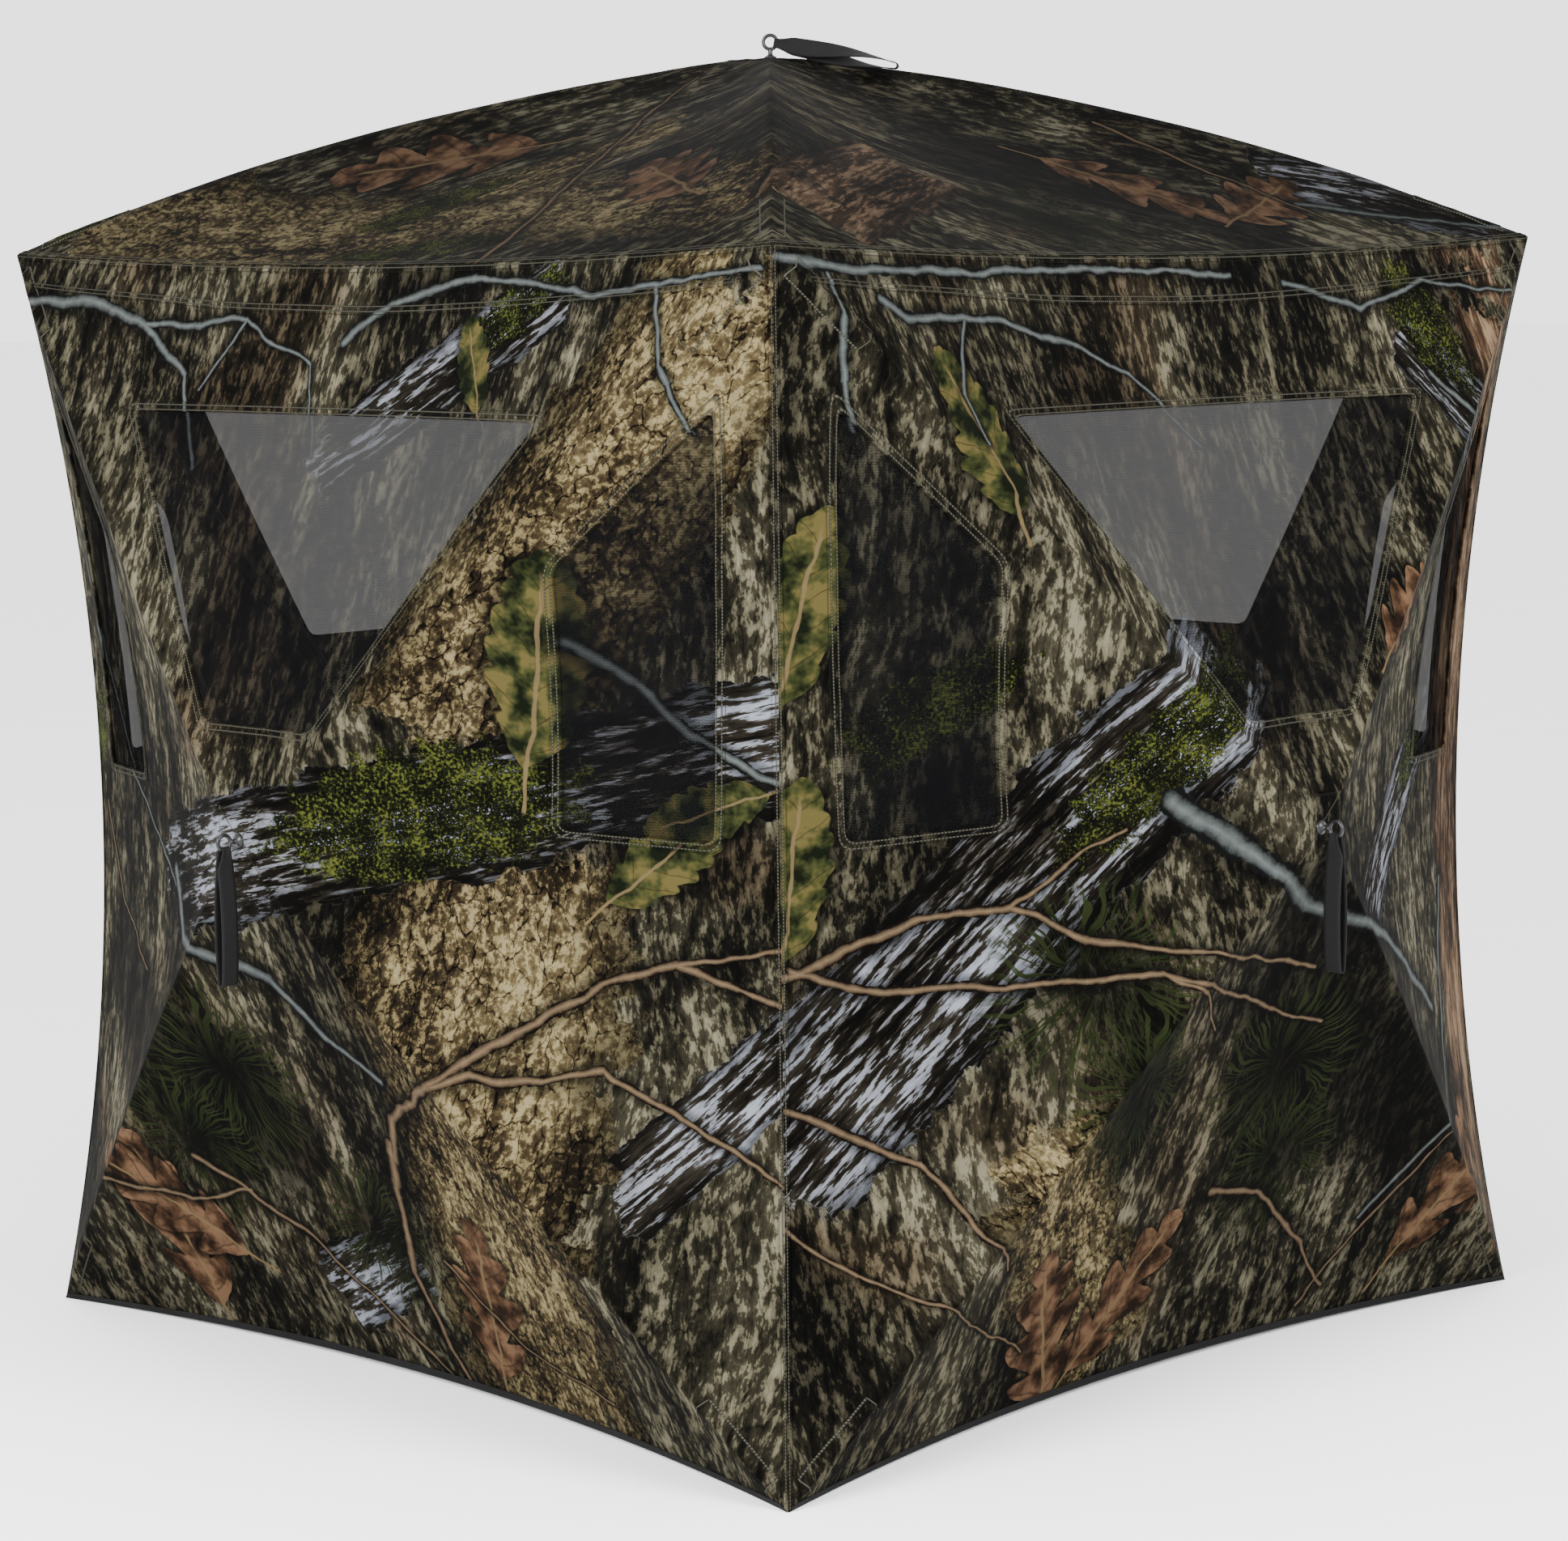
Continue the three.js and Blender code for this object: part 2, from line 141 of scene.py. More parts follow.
@dataclass(frozen=True)
class Face:
    """One of the five fabric faces, with the maths of its surface.

    Attributes:
        name: The face's name in the part.
        quarter: How many right angles the wall is turned from the front.
        roof: Whether it is the roof.
    """

    name: str
    quarter: int = 0
    roof: bool = False
    flat_start: float = 0.30
    flat_end: float = 0.944
    broad: float = 0.0035
    fold: float = 0.0022

    @property
    def hub(self) -> Vector:
        """The middle of the hub's flat square."""
        if self.roof:
            return Vector((0, 0, SHAPE.roof_rise))
        return Vector((0, SHAPE.wall_hub_height, SHAPE.wall_reach))

    @property
    def hub_body(self) -> str:
        """The CAD body that the hub is in."""
        return f"hub_{self.name}"

    def edge(self, side: Side, share: float) -> Vector:
        """A point on the face's outer edge.

        Args:
            side: Which side.
            share: How far along it, going anticlockwise.

        Returns:
            The point in u, v and n.
        """
        s = SHAPE
        across = 2 * share - 1
        if self.roof:
            out = s.half_top - s.eave_bow * arch(share)
            return quarter_turn(Vector((across * s.half_top, -out, -s.eave_sag * arch(share))), side.value)
        if side is Side.BOTTOM:
            return Vector((across * s.half_foot, s.hem_lift * arch(share),
                           s.half_foot - s.half_top - s.hem_bow * arch(share)))
        if side is Side.TOP:
            return Vector((-across * s.half_top, s.corner_height - s.eave_sag * arch(share),
                           -s.eave_bow * arch(share)))
        up = share if side is Side.RIGHT else 1 - share
        half = s.half_foot + (s.half_top - s.half_foot) * up - s.corner_bow * arch(share)
        return Vector((half if side is Side.RIGHT else -half, up * s.corner_height, half - s.half_top))

    def clamp(self, side: Side, share: float) -> Vector:
        """A point on the edge of the hub's flat square, across from edge(side, share)."""
        half = SHAPE.clamp_half
        return quarter_turn(Vector(((2 * share - 1) * half, -half, 0)), side.value) + self.hub

    def relief(self, u: float, v: float, slope: float) -> float:
        """How far pulls and folds move the fabric outwards.

        Args:
            u: Across the face.
            v: Up the face.
            slope: 0 at the edge and 1 at the hub's square.

        Returns:
            The distance in metres.
        """
        seed = 3.7 * self.quarter + (11.0 if self.roof else 0.0)
        fade = smooth(0.0, 0.10, slope) * smooth(1.0, 0.86, slope)
        out = self.broad * noise.noise(Vector((u * 2.3, v * 2.3, seed)))
        out += 0.0012 * noise.noise(Vector((u * 9.0, v * 4.0, seed + 5)))
        for side in Side:
            corner = self.edge(side, 0.0)
            away = Vector((u - corner.x, v - corner.y))
            distance = away.length
            pull = math.exp(-((distance / 0.20) ** 2)) * smooth(0.015, 0.07, distance)
            ripple = math.sin(math.atan2(away.y, away.x) * 22 + 2.5 * noise.noise(Vector((u * 8, v * 8, seed))))
            out += self.fold * pull * ripple
        spoke = Vector((u - self.hub.x, v - self.hub.y))
        near = math.exp(-(((spoke.length - 0.05) / 0.13) ** 2))
        out += 0.0016 * near * math.sin(math.atan2(spoke.y, spoke.x) * 12 + seed + 20 * u)
        return out * fade

    def skin(self, side: Side, share: float, slope: float, lift: float = 0.0) -> Vector:
        """A point of the tight fabric.

        Args:
            side: The facet's side.
            share: How far along the side.
            slope: 0 at the edge and 1 at the hub's square.
            lift: How far outside the fabric.

        Returns:
            The point in u, v and n.
        """
        point = self.edge(side, share).lerp(self.clamp(side, share), slope)
        bow = SHAPE.roof_ridge_bow if self.roof else SHAPE.wall_ridge_bow
        point.z += bow * arch(slope) * (2 * share - 1) ** 2 + lift
        point.z += self.relief(point.x, point.y, slope)
        return point

    def locate(self, side: Side, u: float, v: float) -> tuple[float, float]:
        """Where u, v lies on a facet.

        Args:
            side: The facet.
            u: Across the face.
            v: Up the face.

        Returns:
            The share along the side and the slope.
        """
        low, high = -0.1, 1.1
        for _ in range(18):
            middle = (low + high) / 2
            start, end = self.edge(side, middle), self.clamp(side, middle)
            if (end.x - start.x) * (v - start.y) - (end.y - start.y) * (u - start.x) > 0:
                high = middle
            else:
                low = middle
        start, end = self.edge(side, low).xy, self.clamp(side, low).xy
        return low, (Vector((u, v)) - start).dot(end - start) / (end - start).length_squared

    def over(self, side: Side, u: float, v: float, lift: float = 0.0) -> Vector:
        """The fabric's point at u, v, raised by lift."""
        share, slope = self.locate(side, u, v)
        point = self.skin(side, share, slope, lift)
        return Vector((u, v, point.z))

    def to_row(self, point: Vector) -> Vector:
        """The point, from the face's frame to the part's."""
        if self.roof:
            return Vector((point.x, point.y, SHAPE.corner_height + point.z))
        return quarter_turn(Vector((point.x, -(SHAPE.half_top + point.z), point.y)), self.quarter)

    def bend(self, obj: bpy.types.Object, side: Side) -> None:
        """Lets a facet's piece follow the hub as the hub is pushed in.

        Args:
            obj: The piece, in place.
            side: Its facet.
        """
        start, end = self.edge(side, 0.0).xy, self.edge(side, 1.0).xy
        hub = self.hub.xy
        along = (end - start).normalized()
        foot = start + along * (hub - start).dot(along)
        first, last = foot.lerp(hub, self.flat_start), foot.lerp(hub, self.flat_end)
        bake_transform(obj, "root", self.hub_body, start=self.to_row(Vector((*first, 0))),
                 end=self.to_row(Vector((*last, 0))))

    def slant(self, side: Side) -> float:
        """How long the facet is from the middle of its side to the hub."""
        return (self.skin(side, 0.5, 0.0) - self.hub).length


ROOF = Face("roof", roof=True)
FRONT, RIGHT, BACK, LEFT = Face("front", 0), Face("right", 1), Face("back", 2), Face("left", 3)
WALLS = (FRONT, RIGHT, BACK, LEFT)
FACES = (ROOF, *WALLS)


# ---------------------------------------------------------------- mesh helpers


def laid_grid(columns: int, rows: int, place: Place, closed: bool = False) -> bmesh.types.BMesh:
    """A grid whose points are put where place says.

    Args:
        columns: Steps along.
        rows: Steps across.
        place: Gives a point in the part's frame and its seam coordinates, from 0 to 1 along and across.
        closed: Whether the two ends meet.

    Returns:
        The mesh, with the seam coordinates in its second UV map.
    """
    bm = bmesh.new()
    bmesh.ops.create_grid(bm, x_segments=columns, y_segments=rows, size=0.5)
    seam = bm.loops.layers.uv.new("seam")
    marks: dict[bmesh.types.BMVert, tuple[float, float]] = {}
    for vert in bm.verts:
        point, mark = place(vert.co.x + 0.5, vert.co.y + 0.5)
        vert.co, marks[vert] = point, mark
    for piece in bm.faces:
        for loop in piece.loops:
            loop[seam].uv = marks[loop.vert]
    if closed:
        bmesh.ops.remove_doubles(bm, verts=bm.verts, dist=1e-5)
    return bm


def lay_print(bm: bmesh.types.BMesh, to_print: Callable[[Vector], tuple[float, float]]) -> None:
    """Writes the print's coordinates to the mesh's cloth map.

    Args:
        bm: The mesh, in the part's frame.
        to_print: Gives a point's place in the print.
    """
    cloth = bm.loops.layers.uv.get("cloth") or bm.loops.layers.uv.new("cloth")
    for piece in bm.faces:
        for loop in piece.loops:
            loop[cloth].uv = to_print(loop.vert.co)


def new_piece(name: str, bm: bmesh.types.BMesh, *finishes: bpy.types.Material, smooth_faces: bool = True
              ) -> bpy.types.Object:
    """Makes an object of a mesh, in place.

    Args:
        name: The piece's name.
        bm: Its mesh, in the part's frame, which is freed.
        finishes: Its materials.
        smooth_faces: Whether its faces are shaded smooth.

    Returns:
        The object.
    """
    mesh = bpy.data.meshes.new(name)
    for piece in bm.faces:
        piece.smooth = smooth_faces
    bm.to_mesh(mesh)
    bm.free()
    for finish in finishes:
        mesh.materials.append(finish)
    obj = bpy.data.objects.new(name, mesh)
    bpy.context.scene.collection.objects.link(obj)
    LOG.info("%s: %d faces", name, len(mesh.polygons))
    return obj


def thicken(obj: bpy.types.Object, thickness: float, inner: int = 0) -> None:
    """Gives a sheet its thickness, inwards.

    Args:
        obj: The sheet.
        thickness: In metres.
        inner: The material slot of its inner side.
    """
    solid = obj.modifiers.new("thickness", "SOLIDIFY")
    solid.thickness, solid.offset = thickness, -1.0
    solid.material_offset, solid.material_offset_rim = inner, 0
    solid.use_even_offset = False


def soften(obj: bpy.types.Object, levels: int = 1) -> None:
    """Adds a subdivision surface, the same in the view and in the render."""
    rounding = obj.modifiers.new("rounding", "SUBSURF")
    rounding.levels = rounding.render_levels = levels


def contains(outline: Outline, u: float, v: float) -> bool:
    """Whether u, v is inside the outline."""
    inside = False
    for (ax, ay), (bx, by) in zip(outline, outline[1:] + outline[:1]):
        if (ay > v) != (by > v) and u < (bx - ax) * (v - ay) / (by - ay) + ax:
            inside = not inside
    return inside


def grown(outline: Outline, margin: float) -> Outline:
    """The outline with each side moved out by margin.

    Args:
        outline: Corners, anticlockwise.
        margin: The distance.

    Returns:
        The new corners.
    """
    corners = []
    for k, here in enumerate(outline):
        into = (Vector(here) - Vector(outline[k - 1])).normalized()
        away = (Vector(outline[(k + 1) % len(outline)]) - Vector(here)).normalized()
        scale = margin / (1 + into.dot(away))
        corners.append((here[0] + scale * (into.y + away.y), here[1] - scale * (into.x + away.x)))
    return corners


def rounded(outline: Outline, radius: float, steps: int = 3) -> Outline:
    """The outline with its corners rounded.

    Args:
        outline: Corners, anticlockwise.
        radius: How far from a corner the rounding starts.
        steps: Segments at each corner.

    Returns:
        The new corners.
    """
    points = []
    for k, here in enumerate(outline):
        corner = Vector(here)
        before = corner + (Vector(outline[k - 1]) - corner).normalized() * radius
        after = corner + (Vector(outline[(k + 1) % len(outline)]) - corner).normalized() * radius
        for step in range(steps + 1):
            t = step / steps
            points.append(tuple(before * (1 - t) ** 2 + corner * 2 * t * (1 - t) + after * t * t))
    return points


def cut_to(bm: bmesh.types.BMesh, outline: Outline, keep_inside: bool) -> None:
    """Cuts a flat mesh along an outline and drops one part.

    Args:
        bm: The mesh, with u and v as its first two coordinates.
        outline: Where it is cut.
        keep_inside: Whether the part inside stays, or the part outside.
    """
    for (ax, ay), (bx, by) in zip(outline, outline[1:] + outline[:1]):
        middle = Vector(((ax + bx) / 2, (ay + by) / 2))
        reach = math.hypot(bx - ax, by - ay) / 2 + 0.04
        near = [p for p in bm.faces if (p.calc_center_median().xy - middle).length < reach]
        edges = {e for p in near for e in p.edges}
        verts = {v for p in near for v in p.verts}
        bmesh.ops.bisect_plane(bm, geom=[*near, *edges, *verts], dist=1e-6, plane_co=(ax, ay, 0),
                               plane_no=(by - ay, ax - bx, 0))
    doomed = [p for p in bm.faces if contains(outline, *p.calc_center_median().xy) != keep_inside]
    bmesh.ops.delete(bm, geom=doomed, context="FACES")


# ---------------------------------------------------------------- shader helpers


class Space(Enum):
    """Whether a texture is read on a flat print or in the part's frame."""

    FLAT = "2D"
    SOLID = "3D"


class Signal:
    """A number that varies over a surface. Arithmetic on it adds Math nodes."""

    def __init__(self, graph: "Graph", socket: bpy.types.NodeSocket) -> None:
        """Wraps a socket of a graph."""
        self.graph, self.socket = graph, socket

    def math(self, operation: str, *others: Any, clamp: bool = False) -> "Signal":
        """Applies a Math node.

        Args:
            operation: The node's operation.
            others: Its further inputs.
            clamp: Whether the result is kept from 0 to 1.

        Returns:
            The result.
        """
        settings = {"operation": operation, "use_clamp": clamp}
        node = self.graph.node("ShaderNodeMath", settings, dict(enumerate((self, *others))))
        return Signal(self.graph, node.outputs[0])

    def __add__(self, other: Any) -> "Signal":
        """Sum."""
        return self.math("ADD", other)

    __radd__ = __add__

    def __sub__(self, other: Any) -> "Signal":
        """Difference."""
        return self.math("SUBTRACT", other)

    def __rsub__(self, other: float) -> "Signal":
        """Difference from a number."""
        return self.math("MULTIPLY_ADD", -1.0, other)

    def __mul__(self, other: Any) -> "Signal":
        """Product."""
        return self.math("MULTIPLY", other)

    __rmul__ = __mul__

    def __truediv__(self, other: Any) -> "Signal":
        """Quotient."""
        return self.math("DIVIDE", other)

    def __abs__(self) -> "Signal":
        """Distance from zero."""
        return self.math("ABSOLUTE")

    def least(self, other: Any) -> "Signal":
        """The smaller of two."""
        return self.math("MINIMUM", other)

    def most(self, other: Any) -> "Signal":
        """The larger of two."""
        return self.math("MAXIMUM", other)

    def step(self, low: float, high: float) -> "Signal":
        """A smooth step from 0 at low to 1 at high, or down if low is the larger.

        Args:
            low: Where it starts.
            high: Where it ends.

        Returns:
            The step.
        """
        up = low < high
        node = self.graph.node("ShaderNodeMapRange", {"interpolation_type": "SMOOTHSTEP"},
                               {"Value": self, "From Min": min(low, high), "From Max": max(low, high),
                                "To Min": 0.0 if up else 1.0, "To Max": 1.0 if up else 0.0})
        return Signal(self.graph, node.outputs[0])


class Graph:
    """A material's node tree with the few calls that this blind's finishes need."""

    def __init__(self, name: str) -> None:
        """Starts a material with an empty tree."""
        self.material = bpy.data.materials.new(name)
        self.material.use_nodes = True
        self.tree = self.material.node_tree
        self.tree.nodes.clear()

    def node(self, kind: str, settings: dict[str, Any] | None = None, inputs: dict[Any, Any] | None = None
             ) -> bpy.types.Node:
        """Adds a node.

        Args:
            kind: The node's type.
            settings: Its properties, set first.
            inputs: Values or links by socket name or number.

        Returns:
            The node.
        """
        node = self.tree.nodes.new(kind)
        for key, value in (settings or {}).items():
            setattr(node, key, value)
        for key, value in (inputs or {}).items():
            if isinstance(value, Signal):
                value = value.socket
            if isinstance(value, bpy.types.NodeSocket):
                self.tree.links.new(value, node.inputs[key])
            else:
                node.inputs[key].default_value = value
        return node

    def map(self, name: str) -> bpy.types.NodeSocket:
        """The piece's UV map of that name."""
        return self.node("ShaderNodeUVMap", {"uv_map": name}).outputs[0]

    def place(self) -> bpy.types.NodeSocket:
        """The surface's own Object coordinates."""
        return self.node("ShaderNodeTexCoord").outputs["Object"]

    def vector(self, operation: str, *values: Any) -> bpy.types.NodeSocket:
        """Applies a Vector Math node and gives its vector."""
        return self.node("ShaderNodeVectorMath", {"operation": operation}, dict(enumerate(values))).outputs[0]

    def measure(self, operation: str, *values: Any) -> Signal:
        """Applies a Vector Math node that gives a number."""
        node = self.node("ShaderNodeVectorMath", {"operation": operation}, dict(enumerate(values)))
        return Signal(self, node.outputs["Value"])

    def turned(self, vector: Any, degrees: float) -> bpy.types.NodeSocket:
        """The vector turned in its plane."""
        return self.node("ShaderNodeVectorRotate", {"rotation_type": "Z_AXIS"},
                         {"Vector": vector, "Angle": math.radians(degrees)}).outputs[0]

    def noise(self, vector: Any, scale: float = 1.0, detail: float = 3.0, rough: float = 0.55,
              distortion: float = 0.0, space: Space = Space.FLAT) -> Signal:
        """Noise from 0 to 1 at a place.

        Args:
            vector: The place.
            scale: Waves a unit.
            detail: Octaves.
            rough: How strong the fine octaves are.
            distortion: How much it is twisted.
            space: Whether the place is on a flat print or in the part's frame.

        Returns:
            The noise.
        """
        node = self.node("ShaderNodeTexNoise", {"noise_dimensions": space.value},
                         {"Vector": vector, "Scale": scale, "Detail": detail, "Roughness": rough,
                          "Distortion": distortion})
        return Signal(self, node.outputs[0])

    def cracks(self, vector: Any, scale: float = 1.0) -> Signal:
        """The distance to the nearest crack of a net of cells."""
        settings = {"voronoi_dimensions": "2D", "feature": "DISTANCE_TO_EDGE"}
        node = self.node("ShaderNodeTexVoronoi", settings, {"Vector": vector, "Scale": scale})
        return Signal(self, node.outputs["Distance"])

    def warped(self, vector: Any, scale: float, amount: float) -> bpy.types.NodeSocket:
        """The place moved about by noise.

        Args:
            vector: The place.
            scale: The noise's waves a unit.
            amount: How far it moves.

        Returns:
            The new place.
        """
        cloud = self.node("ShaderNodeTexNoise", {"noise_dimensions": "2D"},
                          {"Vector": vector, "Scale": scale, "Detail": 2.0}).outputs["Color"]
        shift = self.vector("MULTIPLY_ADD", cloud, (2 * amount, 2 * amount, 0), (-amount, -amount, 0))
        return self.vector("ADD", vector, shift)

    def mix(self, share: Any, first: Any, second: Any, blend: str = "MIX") -> bpy.types.NodeSocket:
        """Mixes two colours.

        Args:
            share: How much of the second.
            first: A colour or link.
            second: A colour or link.
            blend: The node's blend type.

        Returns:
            The colour.
        """
        node = self.node("ShaderNodeMix", {"data_type": "RGBA", "blend_type": blend}, {0: share, 6: first, 7: second})
        return node.outputs[2]

    def ramp(self, value: Signal, stops: Sequence[tuple[float, tuple[float, ...]]]) -> bpy.types.NodeSocket:
        """A colour ramp.

        Args:
            value: Where along it.
            stops: Places and colours.

        Returns:
            The colour.
        """
        node = self.node("ShaderNodeValToRGB", {}, {0: value})
        elements = node.color_ramp.elements
        while len(elements) < len(stops):
            elements.new(0.5)
        for element, (position, colour) in zip(elements, stops):
            element.position, element.color = position, colour
        return node.outputs[0]

    def bump(self, height: Signal, distance: float, strength: float = 1.0, normal: Any = None
             ) -> bpy.types.NodeSocket:
        """A bump for a Normal socket.

        Args:
            height: From 0 to 1.
            distance: How deep 1 is, in metres.
            strength: The node's strength.
            normal: A normal that it adds to.

        Returns:
            The normal.
        """
        inputs = {"Height": height, "Distance": distance, "Strength": strength}
        if normal is not None:
            inputs["Normal"] = normal
        return self.node("ShaderNodeBump", {}, inputs).outputs[0]

    def surface(self, **inputs: Any) -> bpy.types.Material:
        """Ends the material in a Principled shader.

        Args:
            inputs: Its sockets, with _ for a space.

        Returns:
            The material.
        """
        named = {key.replace("_", " "): value for key, value in inputs.items()}
        shader = self.node("ShaderNodeBsdfPrincipled", {}, named)
        self.node("ShaderNodeOutputMaterial", {}, {"Surface": shader.outputs[0]})
        return self.material


def tint(red: int, green: int, blue: int) -> tuple[float, float, float, float]:
    """A colour from display values of 0 to 255.

    Args:
        red: The red value.
        green: The green value.
        blue: The blue value.

    Returns:
        The colour, linear, with alpha.
    """
    linear = [(c / 255 / 12.92) if c <= 10 else ((c / 255 + 0.055) / 1.055) ** 2.4 for c in (red, green, blue)]
    return (*linear, 1.0)


# ---------------------------------------------------------------- the woodland print


class Wood(Enum):
    """The kinds of wood that a broad stripe of the print shows."""

    TRUNK = "tan, cracked bark"
    LOG = "grey, streaked with lichen"
    RED = "reddish bark"
    DARK = "dark shade"


class Growth(Enum):
    """The kinds of leaf."""

    OAK = "dry and brown"
    GREEN = "green and yellow"


@dataclass(frozen=True)
class Stripe:
    """A trunk or a log of the print, from start to end."""

    wood: Wood
    start: tuple[float, float]
    end: tuple[float, float]
    half: float


@dataclass(frozen=True)
class Twig:
    """A twig along some points, thinning towards its end."""

    points: tuple[tuple[float, float], ...]
    width: float = 0.009


@dataclass(frozen=True)
class Leaf:
    """A lobed leaf: its stem's end, the way it points and its length."""

    growth: Growth
    stem: tuple[float, float]
    degrees: float
    length: float


@dataclass(frozen=True)
class Tuft:
    """A tuft of pine needles round a middle."""

    middle: tuple[float, float]
    radius: float


@dataclass(frozen=True)
class Moss:
    """A patch of moss."""

    middle: tuple[float, float]
    degrees: float
    radii: tuple[float, float]


@dataclass(frozen=True)
class Wedge:
    """The part of a face between two of its ridges."""

    hub: Vector
    start: Vector
    end: Vector

    def near(self, spots: Iterable[Sequence[float]], reach: float) -> bool:
        """Whether any of the spots is in the wedge or within reach of it."""
        first, last = (self.start - self.hub).normalized(), (self.end - self.hub).normalized()
        for spot in spots:
            away = Vector(spot) - self.hub
            if first.cross(away) > -reach and last.cross(away) < reach:
                return True
        return False


@dataclass(frozen=True)
class BarkLook:
    """How one kind of wood is printed.

    Attributes:
        grain: Waves a metre across and along it.
        stops: Its colours, from its cracks to its ridges.
    """

    grain: tuple[float, float]
    stops: tuple[tuple[float, tuple[float, ...]], ...]


GROUND = BarkLook((30.0, 8.5), (
    (0.30, tint(13, 13, 10)), (0.40, tint(38, 36, 27)), (0.48, tint(72, 68, 52)), (0.55, tint(98, 93, 73)),
    (0.62, tint(132, 127, 102)), (0.70, tint(166, 160, 134))))
LOOKS = {
    Wood.TRUNK: BarkLook((40.0, 20.0), (
        (0.26, tint(16, 12, 8)), (0.38, tint(66, 54, 33)), (0.47, tint(112, 97, 60)), (0.55, tint(150, 134, 88)),
        (0.66, tint(184, 170, 122)))),
    Wood.LOG: BarkLook((40.0, 4.0), (
        (0.34, tint(10, 9, 7)), (0.44, tint(46, 40, 31)), (0.525, tint(84, 78, 66)), (0.57, tint(146, 149, 156)),
        (0.68, tint(184, 190, 202)))),
    Wood.RED: BarkLook((44.0, 4.5), (
        (0.32, tint(30, 22, 15)), (0.45, tint(96, 74, 50)), (0.56, tint(148, 118, 84)), (0.68, tint(184, 156, 120)))),
}


@dataclass(frozen=True)
class WoodlandPrint:
    """What is printed on one face.

    Attributes:
        name: The print's name.
        grain: The angle of the background bark's grain from upright, in degrees.
        gain: How bright the ink is; the roof's lower gain is partly its darker ink and partly painted shade, for light
            that falls low from the front.
        contrast: The power that its colours are raised to.
        richness: How saturated it is.
    """

    name: str
    grain: float = 0.0
    gain: float = 0.25
    contrast: float = 1.30
    richness: float = 0.82
    stripes: tuple[Stripe, ...] = ()
    moss: tuple[Moss, ...] = ()
    tufts: tuple[Tuft, ...] = ()
    leaves: tuple[Leaf, ...] = ()
    pale: tuple[Twig, ...] = ()
    brown: tuple[Twig, ...] = ()

    def within(self, wedge: Wedge, name: str) -> "WoodlandPrint":
        """The print with only what a wedge shows.

        Args:
            wedge: The part of the face.
            name: The new print's name.

        Returns:
            The smaller print.
        """
        def shown(spots: Iterable[Sequence[float]], reach: float) -> bool:
            """Whether the wedge shows it, with room for the hub's patch."""
            return wedge.near(spots, reach + 0.05)

        def line(start: Sequence[float], end: Sequence[float]) -> list[Vector]:
            """Spots from start to end."""
            return [Vector(start).lerp(Vector(end), k / 8) for k in range(9)]

        def branch(twig: Twig) -> list[Vector]:
            """Spots along a twig."""
            return [spot for pair in zip(twig.points, twig.points[1:]) for spot in line(*pair)]

        return WoodlandPrint(
            name, self.grain, self.gain, self.contrast, self.richness,
            tuple(s for s in self.stripes if shown(line(s.start, s.end), s.half * 1.3)),
            tuple(m for m in self.moss if shown([m.middle], m.radii[0] * 1.3)),
            tuple(t for t in self.tufts if shown([t.middle], t.radius)),
            tuple(f for f in self.leaves if shown([Vector(f.stem) + Vector((math.cos(math.radians(f.degrees)),
                  math.sin(math.radians(f.degrees)))) * f.length * 0.5], f.length * 0.6)),
            tuple(t for t in self.pale if shown(branch(t), 0.03)),
            tuple(t for t in self.brown if shown(branch(t), 0.03)))

    def colour(self, g: Graph) -> bpy.types.NodeSocket:
        """Works out the whole print.

        Args:
            g: The graph.

        Returns:
            Its colour.
        """
        place = g.map("cloth")
        ragged = g.noise(place, 14, 4, 0.65) - 0.5
        grain = g.vector("MULTIPLY", g.turned(g.warped(place, 2.4, 0.035), self.grain), (*GROUND.grain, 1))
        masks: dict[Wood, Signal] = {}
        edge: Signal | None = None
        for stripe in self.stripes:
            mask, across = self.lies_on(g, place, stripe, ragged)
            masks[stripe.wood] = masks[stripe.wood].most(mask) if stripe.wood in masks else mask
            if stripe.wood is Wood.DARK:
                continue
            lean = math.degrees(math.atan2(stripe.end[0] - stripe.start[0], stripe.end[1] - stripe.start[1]))
            run = g.vector("MULTIPLY", g.turned(place, lean), (*LOOKS[stripe.wood].grain, 1))
            grain = g.node("ShaderNodeMix", {"data_type": "VECTOR"}, {0: mask.step(0.4, 0.6), 4: grain, 5: run}
                           ).outputs[1]
            rim = mask * abs(across).step(0.45, 1.0)
            edge = rim if edge is None else edge.most(rim)
        colour = self.bark(g, place, grain, masks)
        if edge is not None:
            colour = g.mix(edge * 0.7, colour, tint(14, 12, 8))
        if Wood.DARK in masks:
            colour = g.mix(masks[Wood.DARK] * 0.72, colour, tint(12, 12, 9))
        broad = g.noise(place, 24, 3, 0.6)
        if self.moss:
            colour = self.add_moss(g, place, colour, broad)
        for tuft in self.tufts:
            colour = self.add_tuft(g, place, colour, tuft)
        for leaf in self.leaves:
            colour = self.add_leaf(g, place, colour, leaf, broad)
        bent, knots = g.warped(place, 13, 0.009), g.noise(place, 60, 3, 0.65)
        colour = self.add_twigs(g, bent, knots, colour, self.pale, tint(34, 36, 35), tint(138, 146, 144))
        colour = self.add_twigs(g, bent, knots, colour, self.brown, tint(34, 24, 16), tint(158, 134, 100))
        colour = g.node("ShaderNodeGamma", {}, {0: colour, 1: self.contrast}).outputs[0]
        colour = g.node("ShaderNodeHueSaturation", {}, {"Saturation": self.richness, "Color": colour}).outputs[0]
        # The gain scales the ink; on the roof it also holds painted shade.
        return g.vector("MULTIPLY", colour, (self.gain, self.gain, self.gain))

